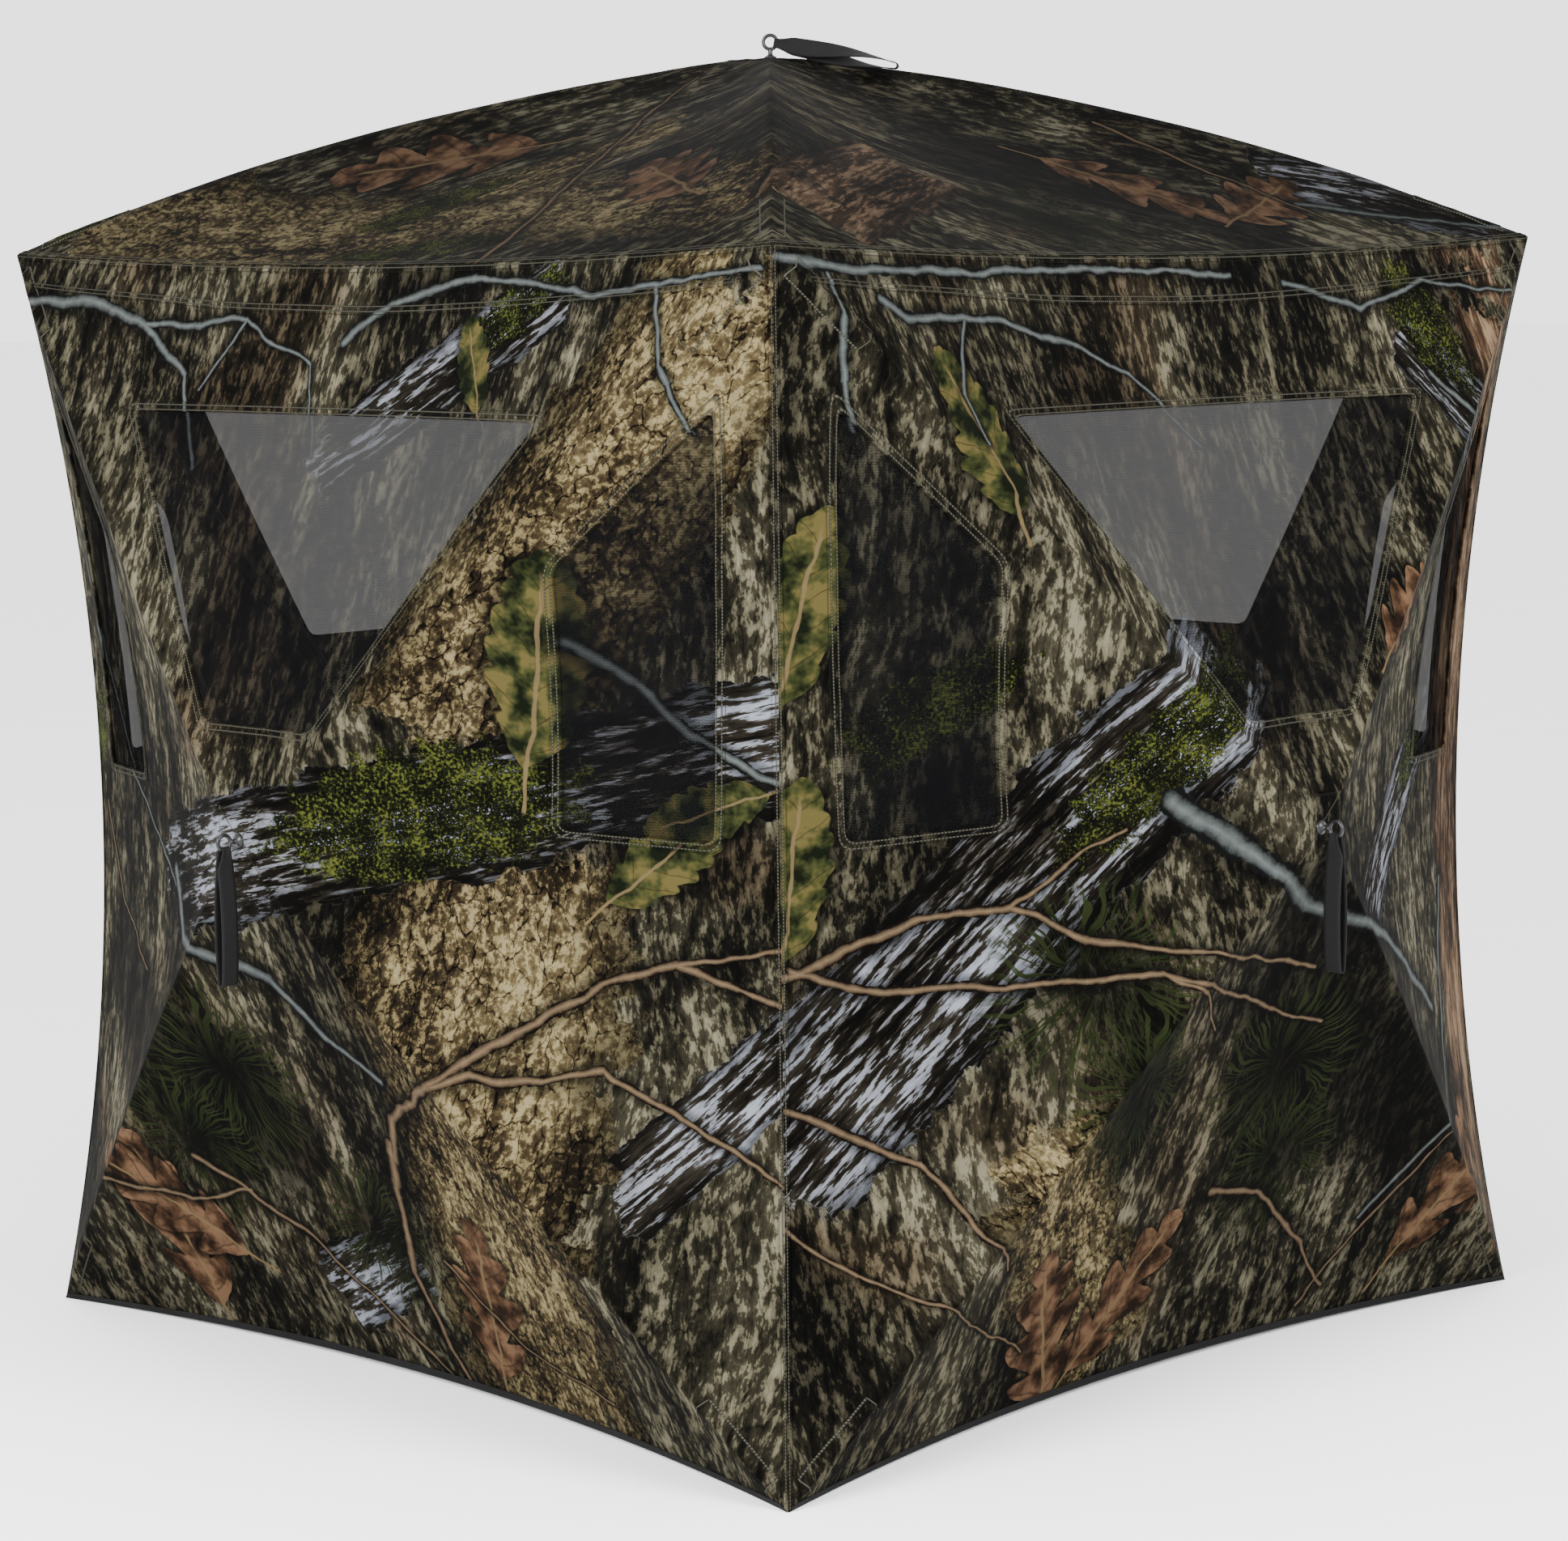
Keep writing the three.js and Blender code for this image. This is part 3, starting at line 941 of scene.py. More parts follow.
    def bark(self, g: Graph, place: Any, grain: Any, masks: dict[Wood, Signal]) -> bpy.types.NodeSocket:
        """The wood that everything else lies on.

        Args:
            g: The graph.
            place: Where in the print.
            grain: The place along and across the grain of the wood there.
            masks: Where each kind of wood is.

        Returns:
            The colour.
        """
        coarse = g.noise(grain, 1.0, 6, 0.68, 0.4)
        chips = g.noise(g.vector("MULTIPLY", grain, (3.1, 4.6, 1)), 1.0, 3, 0.7)
        crack = g.cracks(g.warped(grain, 1.3, 0.5), 1.05).step(0.06, 0.0)
        furrow = g.noise(g.vector("MULTIPLY", grain, (0.36, 0.22, 1)), 1.0, 3, 0.6)
        patch = g.noise(place, 3.4, 3, 0.6)
        flakes = (chips * 0.6 + coarse * 0.4).step(0.505, 0.545) * 0.085
        tone = coarse * 0.42 + chips * 0.30 + furrow * 0.28 + (patch - 0.5) * 0.36 + (flakes - 0.03)
        trunk = masks.get(Wood.TRUNK)
        depth = 0.06 if trunk is None else trunk * 0.10 + 0.06
        tone = tone - crack * depth
        colour = g.ramp(tone, GROUND.stops)
        warm = g.noise(place, 2.3, 2, 0.6, 0.6)
        colour = g.mix(warm.step(0.52, 0.68) * 0.55, colour, tint(128, 98, 64), "OVERLAY")
        for wood, look in LOOKS.items():
            if wood in masks:
                colour = g.mix(masks[wood], colour, g.ramp(tone, look.stops))
        return colour

    @staticmethod
    def lies_on(g: Graph, place: Any, stripe: Stripe, ragged: Signal) -> tuple[Signal, Signal]:
        """Where a stripe is.

        Args:
            g: The graph.
            place: Where in the print.
            stripe: The stripe.
            ragged: Noise round zero for its edges.

        Returns:
            Its mask, and the place across it from -1 to 1.
        """
        along = Vector(stripe.end) - Vector(stripe.start)
        unit, length, half = along.normalized(), along.length, stripe.half
        from_start = g.vector("SUBTRACT", place, (*stripe.start, 0))
        run = g.measure("DOT_PRODUCT", from_start, (unit.x / length, unit.y / length, 0)) + ragged * 0.3
        across = g.measure("DOT_PRODUCT", from_start, (-unit.y / half, unit.x / half, 0)) + ragged * 0.9
        soft = 0.35 if stripe.wood is Wood.DARK else 0.93
        return abs(across).step(1.0, soft) * abs(run - 0.5).step(0.5, 0.46), across

    def add_moss(self, g: Graph, place: Any, under: Any, broad: Signal) -> bpy.types.NodeSocket:
        """Prints the patches of moss over a colour.

        Args:
            g: The graph.
            place: Where in the print.
            under: The colour so far.
            broad: Noise for its clumps.

        Returns:
            The new colour.
        """
        dots = g.noise(place, 230, 2, 0.6)
        ragged = (g.noise(place, 38, 4, 0.7) - 0.5) * 1.3
        cover: Signal | None = None
        for moss in self.moss:
            local = g.turned(g.vector("SUBTRACT", place, (*moss.middle, 0)), -moss.degrees)
            spread = g.measure("LENGTH", g.vector("MULTIPLY", local, (1 / moss.radii[0], 1 / moss.radii[1], 0)))
            patch = (spread + ragged).step(1.0, 0.8)
            cover = patch if cover is None else cover.most(patch)
        colour = g.ramp(dots * 0.6 + broad * 0.4, [(0.42, tint(14, 18, 3)), (0.52, tint(44, 51, 6)),
                                                   (0.62, tint(118, 126, 14))])
        return g.mix(cover * dots.step(0.30, 0.44), under, colour)

    @staticmethod
    def add_tuft(g: Graph, place: Any, under: Any, tuft: Tuft) -> bpy.types.NodeSocket:
        """Prints a tuft of pine needles over a colour."""
        local = g.warped(g.vector("SUBTRACT", place, (*tuft.middle, 0)), 9, 0.03)
        radius = g.measure("LENGTH", local) / tuft.radius
        parts = g.node("ShaderNodeSeparateXYZ", {}, {0: local})
        angle = Signal(g, parts.outputs[1]).math("ARCTAN2", Signal(g, parts.outputs[0]))
        streak = g.noise(g.node("ShaderNodeCombineXYZ", {}, {0: angle * 17, 1: radius * 1.5}).outputs[0], 1, 2, 0.6)
        needle = streak.step(0.53, 0.575) * radius.step(1.0, 0.6) * radius.step(0.05, 0.25)
        colour = g.mix(radius, tint(24, 32, 14), tint(78, 92, 40))
        under = g.mix(radius.step(1.0, 0.1) * 0.7, under, tint(12, 14, 9))
        return g.mix(needle, under, colour)

    @staticmethod
    def add_leaf(g: Graph, place: Any, under: Any, leaf: Leaf, blotch: Signal) -> bpy.types.NodeSocket:
        """Prints a lobed leaf over a colour.

        Args:
            g: The graph.
            place: Where in the print.
            under: The colour so far.
            leaf: The leaf.
            blotch: Noise for its blotches.

        Returns:
            The new colour.
        """
        size = (1 / leaf.length, 1 / leaf.length, 0)
        local = g.vector("MULTIPLY", g.turned(g.vector("SUBTRACT", place, (*leaf.stem, 0)), -leaf.degrees), size)
        parts = g.node("ShaderNodeSeparateXYZ", {}, {0: g.warped(local, 5, 0.03)})
        along, out = Signal(g, parts.outputs[0]), abs(Signal(g, parts.outputs[1]))
        crown = (along * (1 - along)).most(0.0).math("POWER", 0.6)
        slanted = along - out * 0.9
        deep, count, wide = (0.66, 3.6, 0.60) if leaf.growth is Growth.OAK else (0.22, 6.5, 0.50)
        wave = ((slanted * (count * 2 * math.pi)).math("SINE") * 0.5 + 0.5).math("POWER", 0.55)
        depth = crown * (wave * (deep * wide) + (1 - deep) * wide) - out
        body = depth.step(-0.004, 0.006)
        stalk = out.step(0.014, 0.007) * along.step(-0.22, -0.2) * along.step(0.92, 0.8)
        rib = abs((slanted * count + 0.25).math("FRACT") - 0.5).step(0.05, 0.0) * 0.5
        if leaf.growth is Growth.OAK:
            colour = g.ramp(blotch, [(0.34, tint(62, 42, 24)), (0.5, tint(118, 86, 52)), (0.64, tint(156, 120, 80))])
        else:
            colour = g.ramp(blotch, [(0.36, tint(36, 46, 24)), (0.5, tint(90, 96, 46)), (0.62, tint(134, 122, 58))])
        colour = g.mix(rib, colour, tint(56, 42, 24))
        colour = g.mix(stalk * 0.8, colour, tint(156, 134, 88))
        under = g.mix(depth.step(-0.09, 0.0) * along.step(-0.1, 0.1) * along.step(1.1, 0.9) * 0.7, under,
                      tint(9, 8, 6))
        return g.mix(body.most(stalk), under, colour)

    @staticmethod
    def add_twigs(g: Graph, place: Any, knots: Signal, under: Any, twigs: Iterable[Twig], dark: tuple[float, ...],
                  light: tuple[float, ...]) -> bpy.types.NodeSocket:
        """Prints twigs of one colour over another.

        Args:
            g: The graph.
            place: Where in the print.
            knots: Noise for their bark.
            under: The colour so far.
            twigs: The twigs.
            dark: The colour of their undersides.
            light: The colour of their tops.

        Returns:
            The new colour.
        """
        gap: Signal | None = None
        for twig in twigs:
            steps = len(twig.points) - 1
            for k, (start, end) in enumerate(zip(twig.points, twig.points[1:])):
                along = Vector(end) - Vector(start)
                from_start = g.vector("SUBTRACT", place, (*start, 0))
                run = g.measure("DOT_PRODUCT", from_start, (*(along / along.length_squared), 0))
                run = run.math("MULTIPLY", 1.0, clamp=True)
                line = g.node("ShaderNodeVectorMath", {"operation": "SCALE"}, {0: (*along, 0), "Scale": run})
                width = twig.width * (1 - 0.6 * k / max(steps, 1)) / 2
                distance = g.measure("DISTANCE", from_start, line.outputs[0]) / width
                gap = distance if gap is None else gap.least(distance)
        if gap is None:
            return under
        near = gap - (knots - 0.5) * 1.3
        colour = g.ramp(near * 0.55 + knots * 1.1, [(0.50, light), (0.80, g_mean(light, dark)), (1.0, dark)])
        under = g.mix(gap.step(3.4, 1.0) * 0.6, under, tint(9, 8, 6))
        return g.mix(near.step(1.06, 0.92), under, colour)


def g_mean(first: Sequence[float], second: Sequence[float]) -> tuple[float, ...]:
    """The colour halfway between two."""
    return tuple((a + b) / 2 for a, b in zip(first, second))


FRONT_PRINT = WoodlandPrint(
    "front_print",
    stripes=(
        Stripe(Wood.DARK, (-0.62, 0.55), (-0.05, 0.30), 0.14),
        Stripe(Wood.TRUNK, (0.70, 1.46), (0.26, 0.86), 0.13),
        Stripe(Wood.TRUNK, (0.34, 0.80), (0.26, -0.02), 0.18),
        Stripe(Wood.LOG, (-0.30, 0.66), (0.72, 0.91), 0.085),
        Stripe(Wood.LOG, (0.50, 0.34), (0.75, 0.60), 0.05),
        Stripe(Wood.LOG, (-0.02, 1.20), (0.40, 1.44), 0.05),
        Stripe(Wood.LOG, (-0.14, 0.10), (0.06, 0.20), 0.06),
    ),
    moss=(Moss((0.25, 0.80), 12, (0.21, 0.085)), Moss((0.30, 1.40), 30, (0.09, 0.035)),
          Moss((-0.64, 0.84), 80, (0.10, 0.03))),
    tufts=(Tuft((-0.18, 0.42), 0.15), Tuft((-0.30, 0.30), 0.13), Tuft((0.00, 0.22), 0.12)),
    leaves=(
        Leaf(Growth.OAK, (-0.40, 0.04), 96, 0.27),
        Leaf(Growth.OAK, (-0.30, 0.14), 150, 0.25),
        Leaf(Growth.OAK, (0.16, 0.04), 74, 0.25),
        Leaf(Growth.GREEN, (0.38, 0.86), 78, 0.27),
        Leaf(Growth.GREEN, (0.47, 0.70), 40, 0.19),
        Leaf(Growth.GREEN, (0.66, 0.84), 200, 0.16),
        Leaf(Growth.GREEN, (0.28, 1.28), 120, 0.13),
    ),
    pale=(
        Twig(((-0.72, 1.41), (-0.54, 1.41), (-0.43, 1.38), (-0.32, 1.32), (-0.26, 1.20)), 0.020),
        Twig(((-0.43, 1.38), (-0.31, 1.38), (-0.22, 1.39), (-0.16, 1.36), (-0.07, 1.33), (-0.03, 1.22)), 0.012),
        Twig(((-0.22, 1.39), (-0.28, 1.30)), 0.007),
        Twig(((-0.02, 1.36), (0.06, 1.41), (0.21, 1.44), (0.45, 1.42), (0.72, 1.45)), 0.016),
        Twig(((0.55, 1.43), (0.60, 1.32), (0.62, 1.26)), 0.010),
        Twig(((-0.26, 0.68), (-0.19, 0.60), (-0.03, 0.57), (0.05, 0.50), (0.14, 0.45)), 0.026),
        Twig(((-0.66, 1.10), (-0.60, 0.92), (-0.48, 0.78), (-0.26, 0.66)), 0.012),
        Twig(((0.44, 1.01), (0.51, 0.97), (0.58, 0.90), (0.68, 0.85)), 0.020),
    ),
    brown=(
        Twig(((0.10, 0.34), (0.13, 0.40), (0.27, 0.47), (0.37, 0.54), (0.46, 0.60), (0.55, 0.63), (0.72, 0.665)), 0.019),
        Twig(((0.10, 0.36), (0.08, 0.30), (0.04, 0.17), (0.08, 0.00)), 0.022),
        Twig(((0.55, 0.63), (0.62, 0.605), (0.72, 0.57)), 0.013),
        Twig(((0.22, 0.45), (0.32, 0.485), (0.40, 0.48), (0.47, 0.50), (0.56, 0.45), (0.63, 0.41), (0.72, 0.35)), 0.015),
        Twig(((-0.32, 0.28), (-0.16, 0.19), (0.04, 0.02)), 0.012),
        Twig(((-0.52, 0.22), (-0.36, 0.21), (-0.24, 0.24)), 0.010),
        Twig(((0.12, 0.20), (0.24, 0.10), (0.40, 0.06)), 0.007),
        Twig(((-0.64, 0.72), (-0.56, 0.60), (-0.40, 0.52)), 0.008),
    ),
)

RIGHT_PRINT = WoodlandPrint(
    "right_print",
    grain=-3.0,
    stripes=(
        Stripe(Wood.DARK, (-0.10, 0.62), (0.55, 0.20), 0.17),
        Stripe(Wood.RED, (0.60, 1.44), (0.62, 0.10), 0.075),
        Stripe(Wood.TRUNK, (-0.40, 0.40), (-0.10, 0.02), 0.11),
        Stripe(Wood.LOG, (-0.10, 0.98), (-0.72, 0.38), 0.105),
        Stripe(Wood.LOG, (0.40, 1.36), (0.62, 1.10), 0.05),
        Stripe(Wood.LOG, (0.12, 0.60), (0.50, 0.86), 0.05),
    ),
    moss=(Moss((-0.21, 0.86), 44, (0.19, 0.055)), Moss((0.46, 1.36), -60, (0.10, 0.05)),
          Moss((0.40, 0.80), 30, (0.08, 0.04)), Moss((-0.50, 0.93), 30, (0.12, 0.05))),
    tufts=(Tuft((-0.30, 0.58), 0.15), Tuft((-0.24, 0.44), 0.13), Tuft((0.08, 0.42), 0.15), Tuft((0.14, 0.28), 0.12)),
    leaves=(
        Leaf(Growth.GREEN, (-0.43, 1.16), 112, 0.21),
        Leaf(Growth.OAK, (-0.19, 0.00), 118, 0.27),
        Leaf(Growth.OAK, (-0.16, 0.04), 58, 0.24),
        Leaf(Growth.OAK, (0.46, 0.08), 62, 0.25),
        Leaf(Growth.GREEN, (-0.67, 0.64), 84, 0.22),
        Leaf(Growth.GREEN, (-0.68, 0.94), 80, 0.24),
        Leaf(Growth.OAK, (0.20, 0.95), 40, 0.16),
    ),
    pale=(
        Twig(((-0.74, 1.46), (-0.59, 1.445), (-0.42, 1.44), (-0.14, 1.44), (0.10, 1.43)), 0.017),
        Twig(((-0.58, 1.41), (-0.54, 1.39), (-0.36, 1.38), (-0.25, 1.35), (-0.15, 1.31), (-0.04, 1.22)), 0.014),
        Twig(((-0.44, 1.38), (-0.48, 1.30), (-0.46, 1.24)), 0.009),
        Twig(((-0.20, 0.80), (-0.12, 0.74), (0.01, 0.65), (0.23, 0.58), (0.46, 0.44)), 0.034),
        Twig(((0.20, 1.42), (0.34, 1.38), (0.48, 1.42), (0.66, 1.40)), 0.012),
        Twig(((0.44, 1.30), (0.56, 1.18), (0.60, 1.00)), 0.012),
        Twig(((0.56, 0.60), (0.50, 0.36), (0.36, 0.16)), 0.016),
        Twig(((-0.66, 1.44), (-0.64, 1.32), (-0.62, 1.26)), 0.010),
    ),
    brown=(
        Twig(((-0.74, 0.60), (-0.67, 0.62), (-0.59, 0.65), (-0.51, 0.68), (-0.40, 0.685), (-0.31, 0.64), (-0.17, 0.61),
              (0.07, 0.565)), 0.017),
        Twig(((-0.66, 0.63), (-0.58, 0.60), (-0.44, 0.59), (-0.22, 0.59), (0.02, 0.51), (0.12, 0.48)), 0.014),
        Twig(((-0.40, 0.685), (-0.33, 0.73), (-0.26, 0.77)), 0.009),
        Twig(((-0.22, 0.59), (-0.16, 0.56), (-0.10, 0.50)), 0.008),
        Twig(((-0.74, 0.50), (-0.59, 0.42), (-0.53, 0.39), (-0.47, 0.30), (-0.41, 0.24)), 0.013),
        Twig(((-0.70, 0.34), (-0.61, 0.26), (-0.53, 0.22), (-0.29, 0.10)), 0.008),
        Twig(((0.02, 0.26), (0.12, 0.24), (0.26, 0.14), (0.34, 0.06)), 0.013),
        Twig(((0.30, 0.04), (0.44, 0.24), (0.56, 0.44)), 0.008),
    ),
)

ROOF_PRINT = WoodlandPrint(
    "roof_print",
    grain=42.0,
    # Below the walls' gain: partly the roof's darker ink, partly painted shade, since light falling low from the front
    # leaves the roof darker.
    gain=0.115,
    stripes=(
        Stripe(Wood.TRUNK, (-0.66, -0.66), (0.05, -0.62), 0.13),
        Stripe(Wood.TRUNK, (0.00, -0.52), (0.62, -0.60), 0.10),
        Stripe(Wood.TRUNK, (-0.05, -0.50), (0.12, -0.28), 0.07),
        Stripe(Wood.RED, (0.66, -0.60), (0.44, -0.20), 0.08),
        Stripe(Wood.DARK, (0.30, -0.10), (0.70, 0.30), 0.16),
        Stripe(Wood.LOG, (0.52, 0.40), (0.70, 0.70), 0.07),
        Stripe(Wood.TRUNK, (-0.60, 0.20), (0.20, 0.60), 0.12),
    ),
    moss=(Moss((-0.09, -0.52), 60, (0.12, 0.045)), Moss((0.05, -0.66), 10, (0.16, 0.03)),
          Moss((-0.66, -0.64), 60, (0.08, 0.03))),
    tufts=(Tuft((0.60, -0.10), 0.13),),
    leaves=(
        Leaf(Growth.OAK, (-0.10, -0.33), 212, 0.30),
        Leaf(Growth.OAK, (0.42, -0.56), 150, 0.24),
        Leaf(Growth.OAK, (0.40, 0.10), 30, 0.26),
        Leaf(Growth.OAK, (0.62, 0.24), 110, 0.22),
        Leaf(Growth.GREEN, (-0.10, 0.42), 70, 0.22),
    ),
    pale=(
        Twig(((0.60, 0.40), (0.66, 0.54), (0.72, 0.72)), 0.016),
        Twig(((-0.70, 0.10), (-0.40, 0.30), (-0.10, 0.50)), 0.014),
    ),
    brown=(
        Twig(((0.20, -0.72), (0.16, -0.58), (0.06, -0.36), (-0.02, -0.20), (-0.04, -0.10)), 0.014),
        Twig(((0.10, -0.44), (0.26, -0.34), (0.30, -0.18)), 0.008),
        Twig(((0.34, 0.28), (0.50, 0.34), (0.70, 0.44)), 0.010),
        Twig(((-0.30, 0.20), (0.00, 0.44), (0.30, 0.60)), 0.014),
    ),
)


# ---------------------------------------------------------------- windows' outlines

TOP_WINDOW: Outline = [(-0.104, 0.890), (0.104, 0.890), (0.396, 1.270), (-0.396, 1.270)]
RIGHT_WINDOW: Outline = [(0.412, 0.786), (0.596, 0.777), (0.606, 0.930), (0.622, 1.110), (0.643, 1.288),
                         (0.440, 1.098)]
LEFT_WINDOW: Outline = [(-u, v) for u, v in reversed(RIGHT_WINDOW)]
WINDOWS = {Side.TOP: ("top", TOP_WINDOW), Side.RIGHT: ("side_right", RIGHT_WINDOW),
           Side.LEFT: ("side_left", LEFT_WINDOW)}
WINDOW_CORNER = 0.014



# ---------------------------------------------------------------- finishes


@dataclass(frozen=True)
class CamoCloth:
    """Printed polyester: a fine weave, and a double row of stitches where the piece has seam coordinates, with painted
    shade along the stitch rows and the folded strip edges.
    """

    pattern: WoodlandPrint
    stitch_rows: tuple[float, ...] = (0.0022, 0.0088)
    stitch_pitch: float = 0.0042
    stitch_width: float = 0.0009

    def make(self) -> bpy.types.Material:
        """Builds the material."""
        g = Graph(f"camo_{self.pattern.name}")
        colour = self.pattern.colour(g)
        seam = g.node("ShaderNodeSeparateXYZ", {}, {0: g.map("seam")})
        along, across = Signal(g, seam.outputs[0]), Signal(g, seam.outputs[1])
        row: Signal | None = None
        for offset in self.stitch_rows:
            line = abs(across - offset)
            row = line if row is None else row.least(line)
        dash = abs((along / self.stitch_pitch).math("FRACT") - 0.5).step(0.36, 0.30)
        stitch = row.step(self.stitch_width, self.stitch_width * 0.5) * dash
        # Painted shade: the grooves along the stitch rows and the folds at a sewn strip's inner and outer edges are
        # mixed towards near black.
        fold = across.step(0.0008, 0.0004) * across.step(0.0, 0.0004)
        colour = g.mix(row.step(0.0022, 0.0) * 0.7, colour, (0.004, 0.004, 0.003, 1))
        colour = g.mix(fold.most(across.step(0.0115, 0.0125)) * 0.6, colour, (0.003, 0.003, 0.002, 1))
        colour = g.mix(stitch, colour, (0.030, 0.029, 0.022, 1))
        weave = g.noise(g.vector("MULTIPLY", g.map("cloth"), (1, 1, 1)), 950, 1, 0.5)
        crinkle = g.noise(g.map("cloth"), 55, 4, 0.6)
        normal = g.bump(weave, 0.0004, 0.35)
        normal = g.bump(crinkle, 0.0022, 0.35, normal)
        normal = g.bump(row.step(0.0026, 0.0) * -1, 0.0006, 0.6, normal)
        return g.surface(Base_Color=colour, Roughness=0.78, Normal=normal, Specular_IOR_Level=0.02)


@dataclass(frozen=True)
class NetCloth:
    """The printed mesh of the windows, which lets light through its holes."""

    pattern: WoodlandPrint
    cover: float = 0.79
    depth: float = 0.42

    def make(self) -> bpy.types.Material:
        """Builds the material."""
        g = Graph(f"net_{self.pattern.name}")
        colour = g.mix(1 - self.depth, self.pattern.colour(g), (0.004, 0.004, 0.0045, 1))
        threads = g.measure("DOT_PRODUCT", g.map("cloth"), (0, 1, 0))
        rib = (threads * (2 * math.pi / 0.0032)).math("SINE")
        # Painted shade between the threads: the ribs' troughs are mixed towards black.
        colour = g.mix(rib.step(0.2, -0.6) * 0.35, colour, (0.002, 0.002, 0.002, 1))
        alpha = rib * 0.02 + self.cover
        return g.surface(Base_Color=colour, Roughness=0.85, Alpha=alpha, Specular_IOR_Level=0.0,
                         Normal=g.bump(rib, 0.0003, 0.5))


@dataclass(frozen=True)
class PlainCloth:
    """A woven cloth of one colour, such as the lining, the hem binding or webbing."""

    name: str
    colour: tuple[float, ...]
    roughness: float = 0.85
    rib: float = 420.0
    depth: float = 0.0004

    def make(self) -> bpy.types.Material:
        """Builds the material."""
        g = Graph(self.name)
        place = g.place()
        cloud = g.noise(place, 9, 4, 0.6, space=Space.SOLID)
        weave = g.noise(place, self.rib, 2, 0.6, space=Space.SOLID)
        worn = g_mean(self.colour, (0.03, 0.03, 0.03, 1))
        colour = g.mix(cloud.step(0.45, 0.8) * 0.28, self.colour, worn)
        colour = g.mix(weave.step(0.62, 0.38) * 0.5, colour, g_mean(self.colour, (0, 0, 0, 1)))
        return g.surface(Base_Color=colour, Roughness=cloud * 0.12 + (self.roughness - 0.06),
                         Normal=g.bump(weave, self.depth, 0.7), Specular_IOR_Level=0.08)


@dataclass(frozen=True)
class RibbedWebbing:
    """Woven webbing: ribs across its length, read from its seam coordinates."""

    name: str = "black_webbing"
    pitch: float = 0.0021

    def make(self) -> bpy.types.Material:
        """Builds the material."""
        g = Graph(self.name)
        seam = g.node("ShaderNodeSeparateXYZ", {}, {0: g.map("seam")})
        along, across = Signal(g, seam.outputs[0]), Signal(g, seam.outputs[1])
        rib = (along * (2 * math.pi / self.pitch) + (across * (2 * math.pi / 0.003)).math("SINE") * 1.2).math("SINE")
        fuzz = g.noise(g.place(), 700, 3, 0.6, space=Space.SOLID)
        # Painted shade: the troughs between the ribs are darker than the crests.
        colour = g.mix(rib.step(-0.2, 0.9) * 0.6, (0.002, 0.002, 0.002, 1), (0.006, 0.006, 0.0063, 1))
        colour = g.mix(fuzz.step(0.55, 0.75) * 0.35, colour, (0.014, 0.014, 0.0145, 1))
        normal = g.bump(rib * 0.5 + fuzz * 0.5, 0.0006, 0.6)
        return g.surface(Base_Color=colour, Roughness=0.72, Normal=normal, Specular_IOR_Level=0.10)


@dataclass(frozen=True)
class Moulded:
    """Black plastic or coated metal with a fine grain and worn high spots."""

    name: str
    colour: tuple[float, ...]
    worn: tuple[float, ...]
    roughness: float
    metallic: float = 0.0
    grain: float = 900.0

    def make(self) -> bpy.types.Material:
        """Builds the material."""
        g = Graph(self.name)
        place = g.place()
        cloud = g.noise(place, 40, 5, 0.62, space=Space.SOLID)
        grain = g.noise(place, self.grain, 2, 0.5, space=Space.SOLID)
        colour = g.mix(cloud.step(0.56, 0.78) * 0.45, self.colour, self.worn)
        rough = cloud * 0.22 + (self.roughness - 0.11)
        return g.surface(Base_Color=colour, Roughness=rough, Metallic=self.metallic, Specular_IOR_Level=0.25,
                         Normal=g.bump(grain, 0.0002, 0.35))


@dataclass(frozen=True)
class RodFinish:
    """Pultruded fibreglass: long fibres under a thin gloss."""

    name: str = "fibreglass_rod"

    def make(self) -> bpy.types.Material:
        """Builds the material."""
        g = Graph(self.name)
        place = g.place()
        fibre = g.noise(place, 260, 4, 0.7, 0.4, Space.SOLID)
        colour = g.mix(fibre.step(0.4, 0.7) * 0.6, (0.010, 0.010, 0.011, 1), (0.035, 0.035, 0.036, 1))
        return g.surface(Base_Color=colour, Roughness=fibre * 0.25 + 0.28, Normal=g.bump(fibre, 0.0002, 0.3))


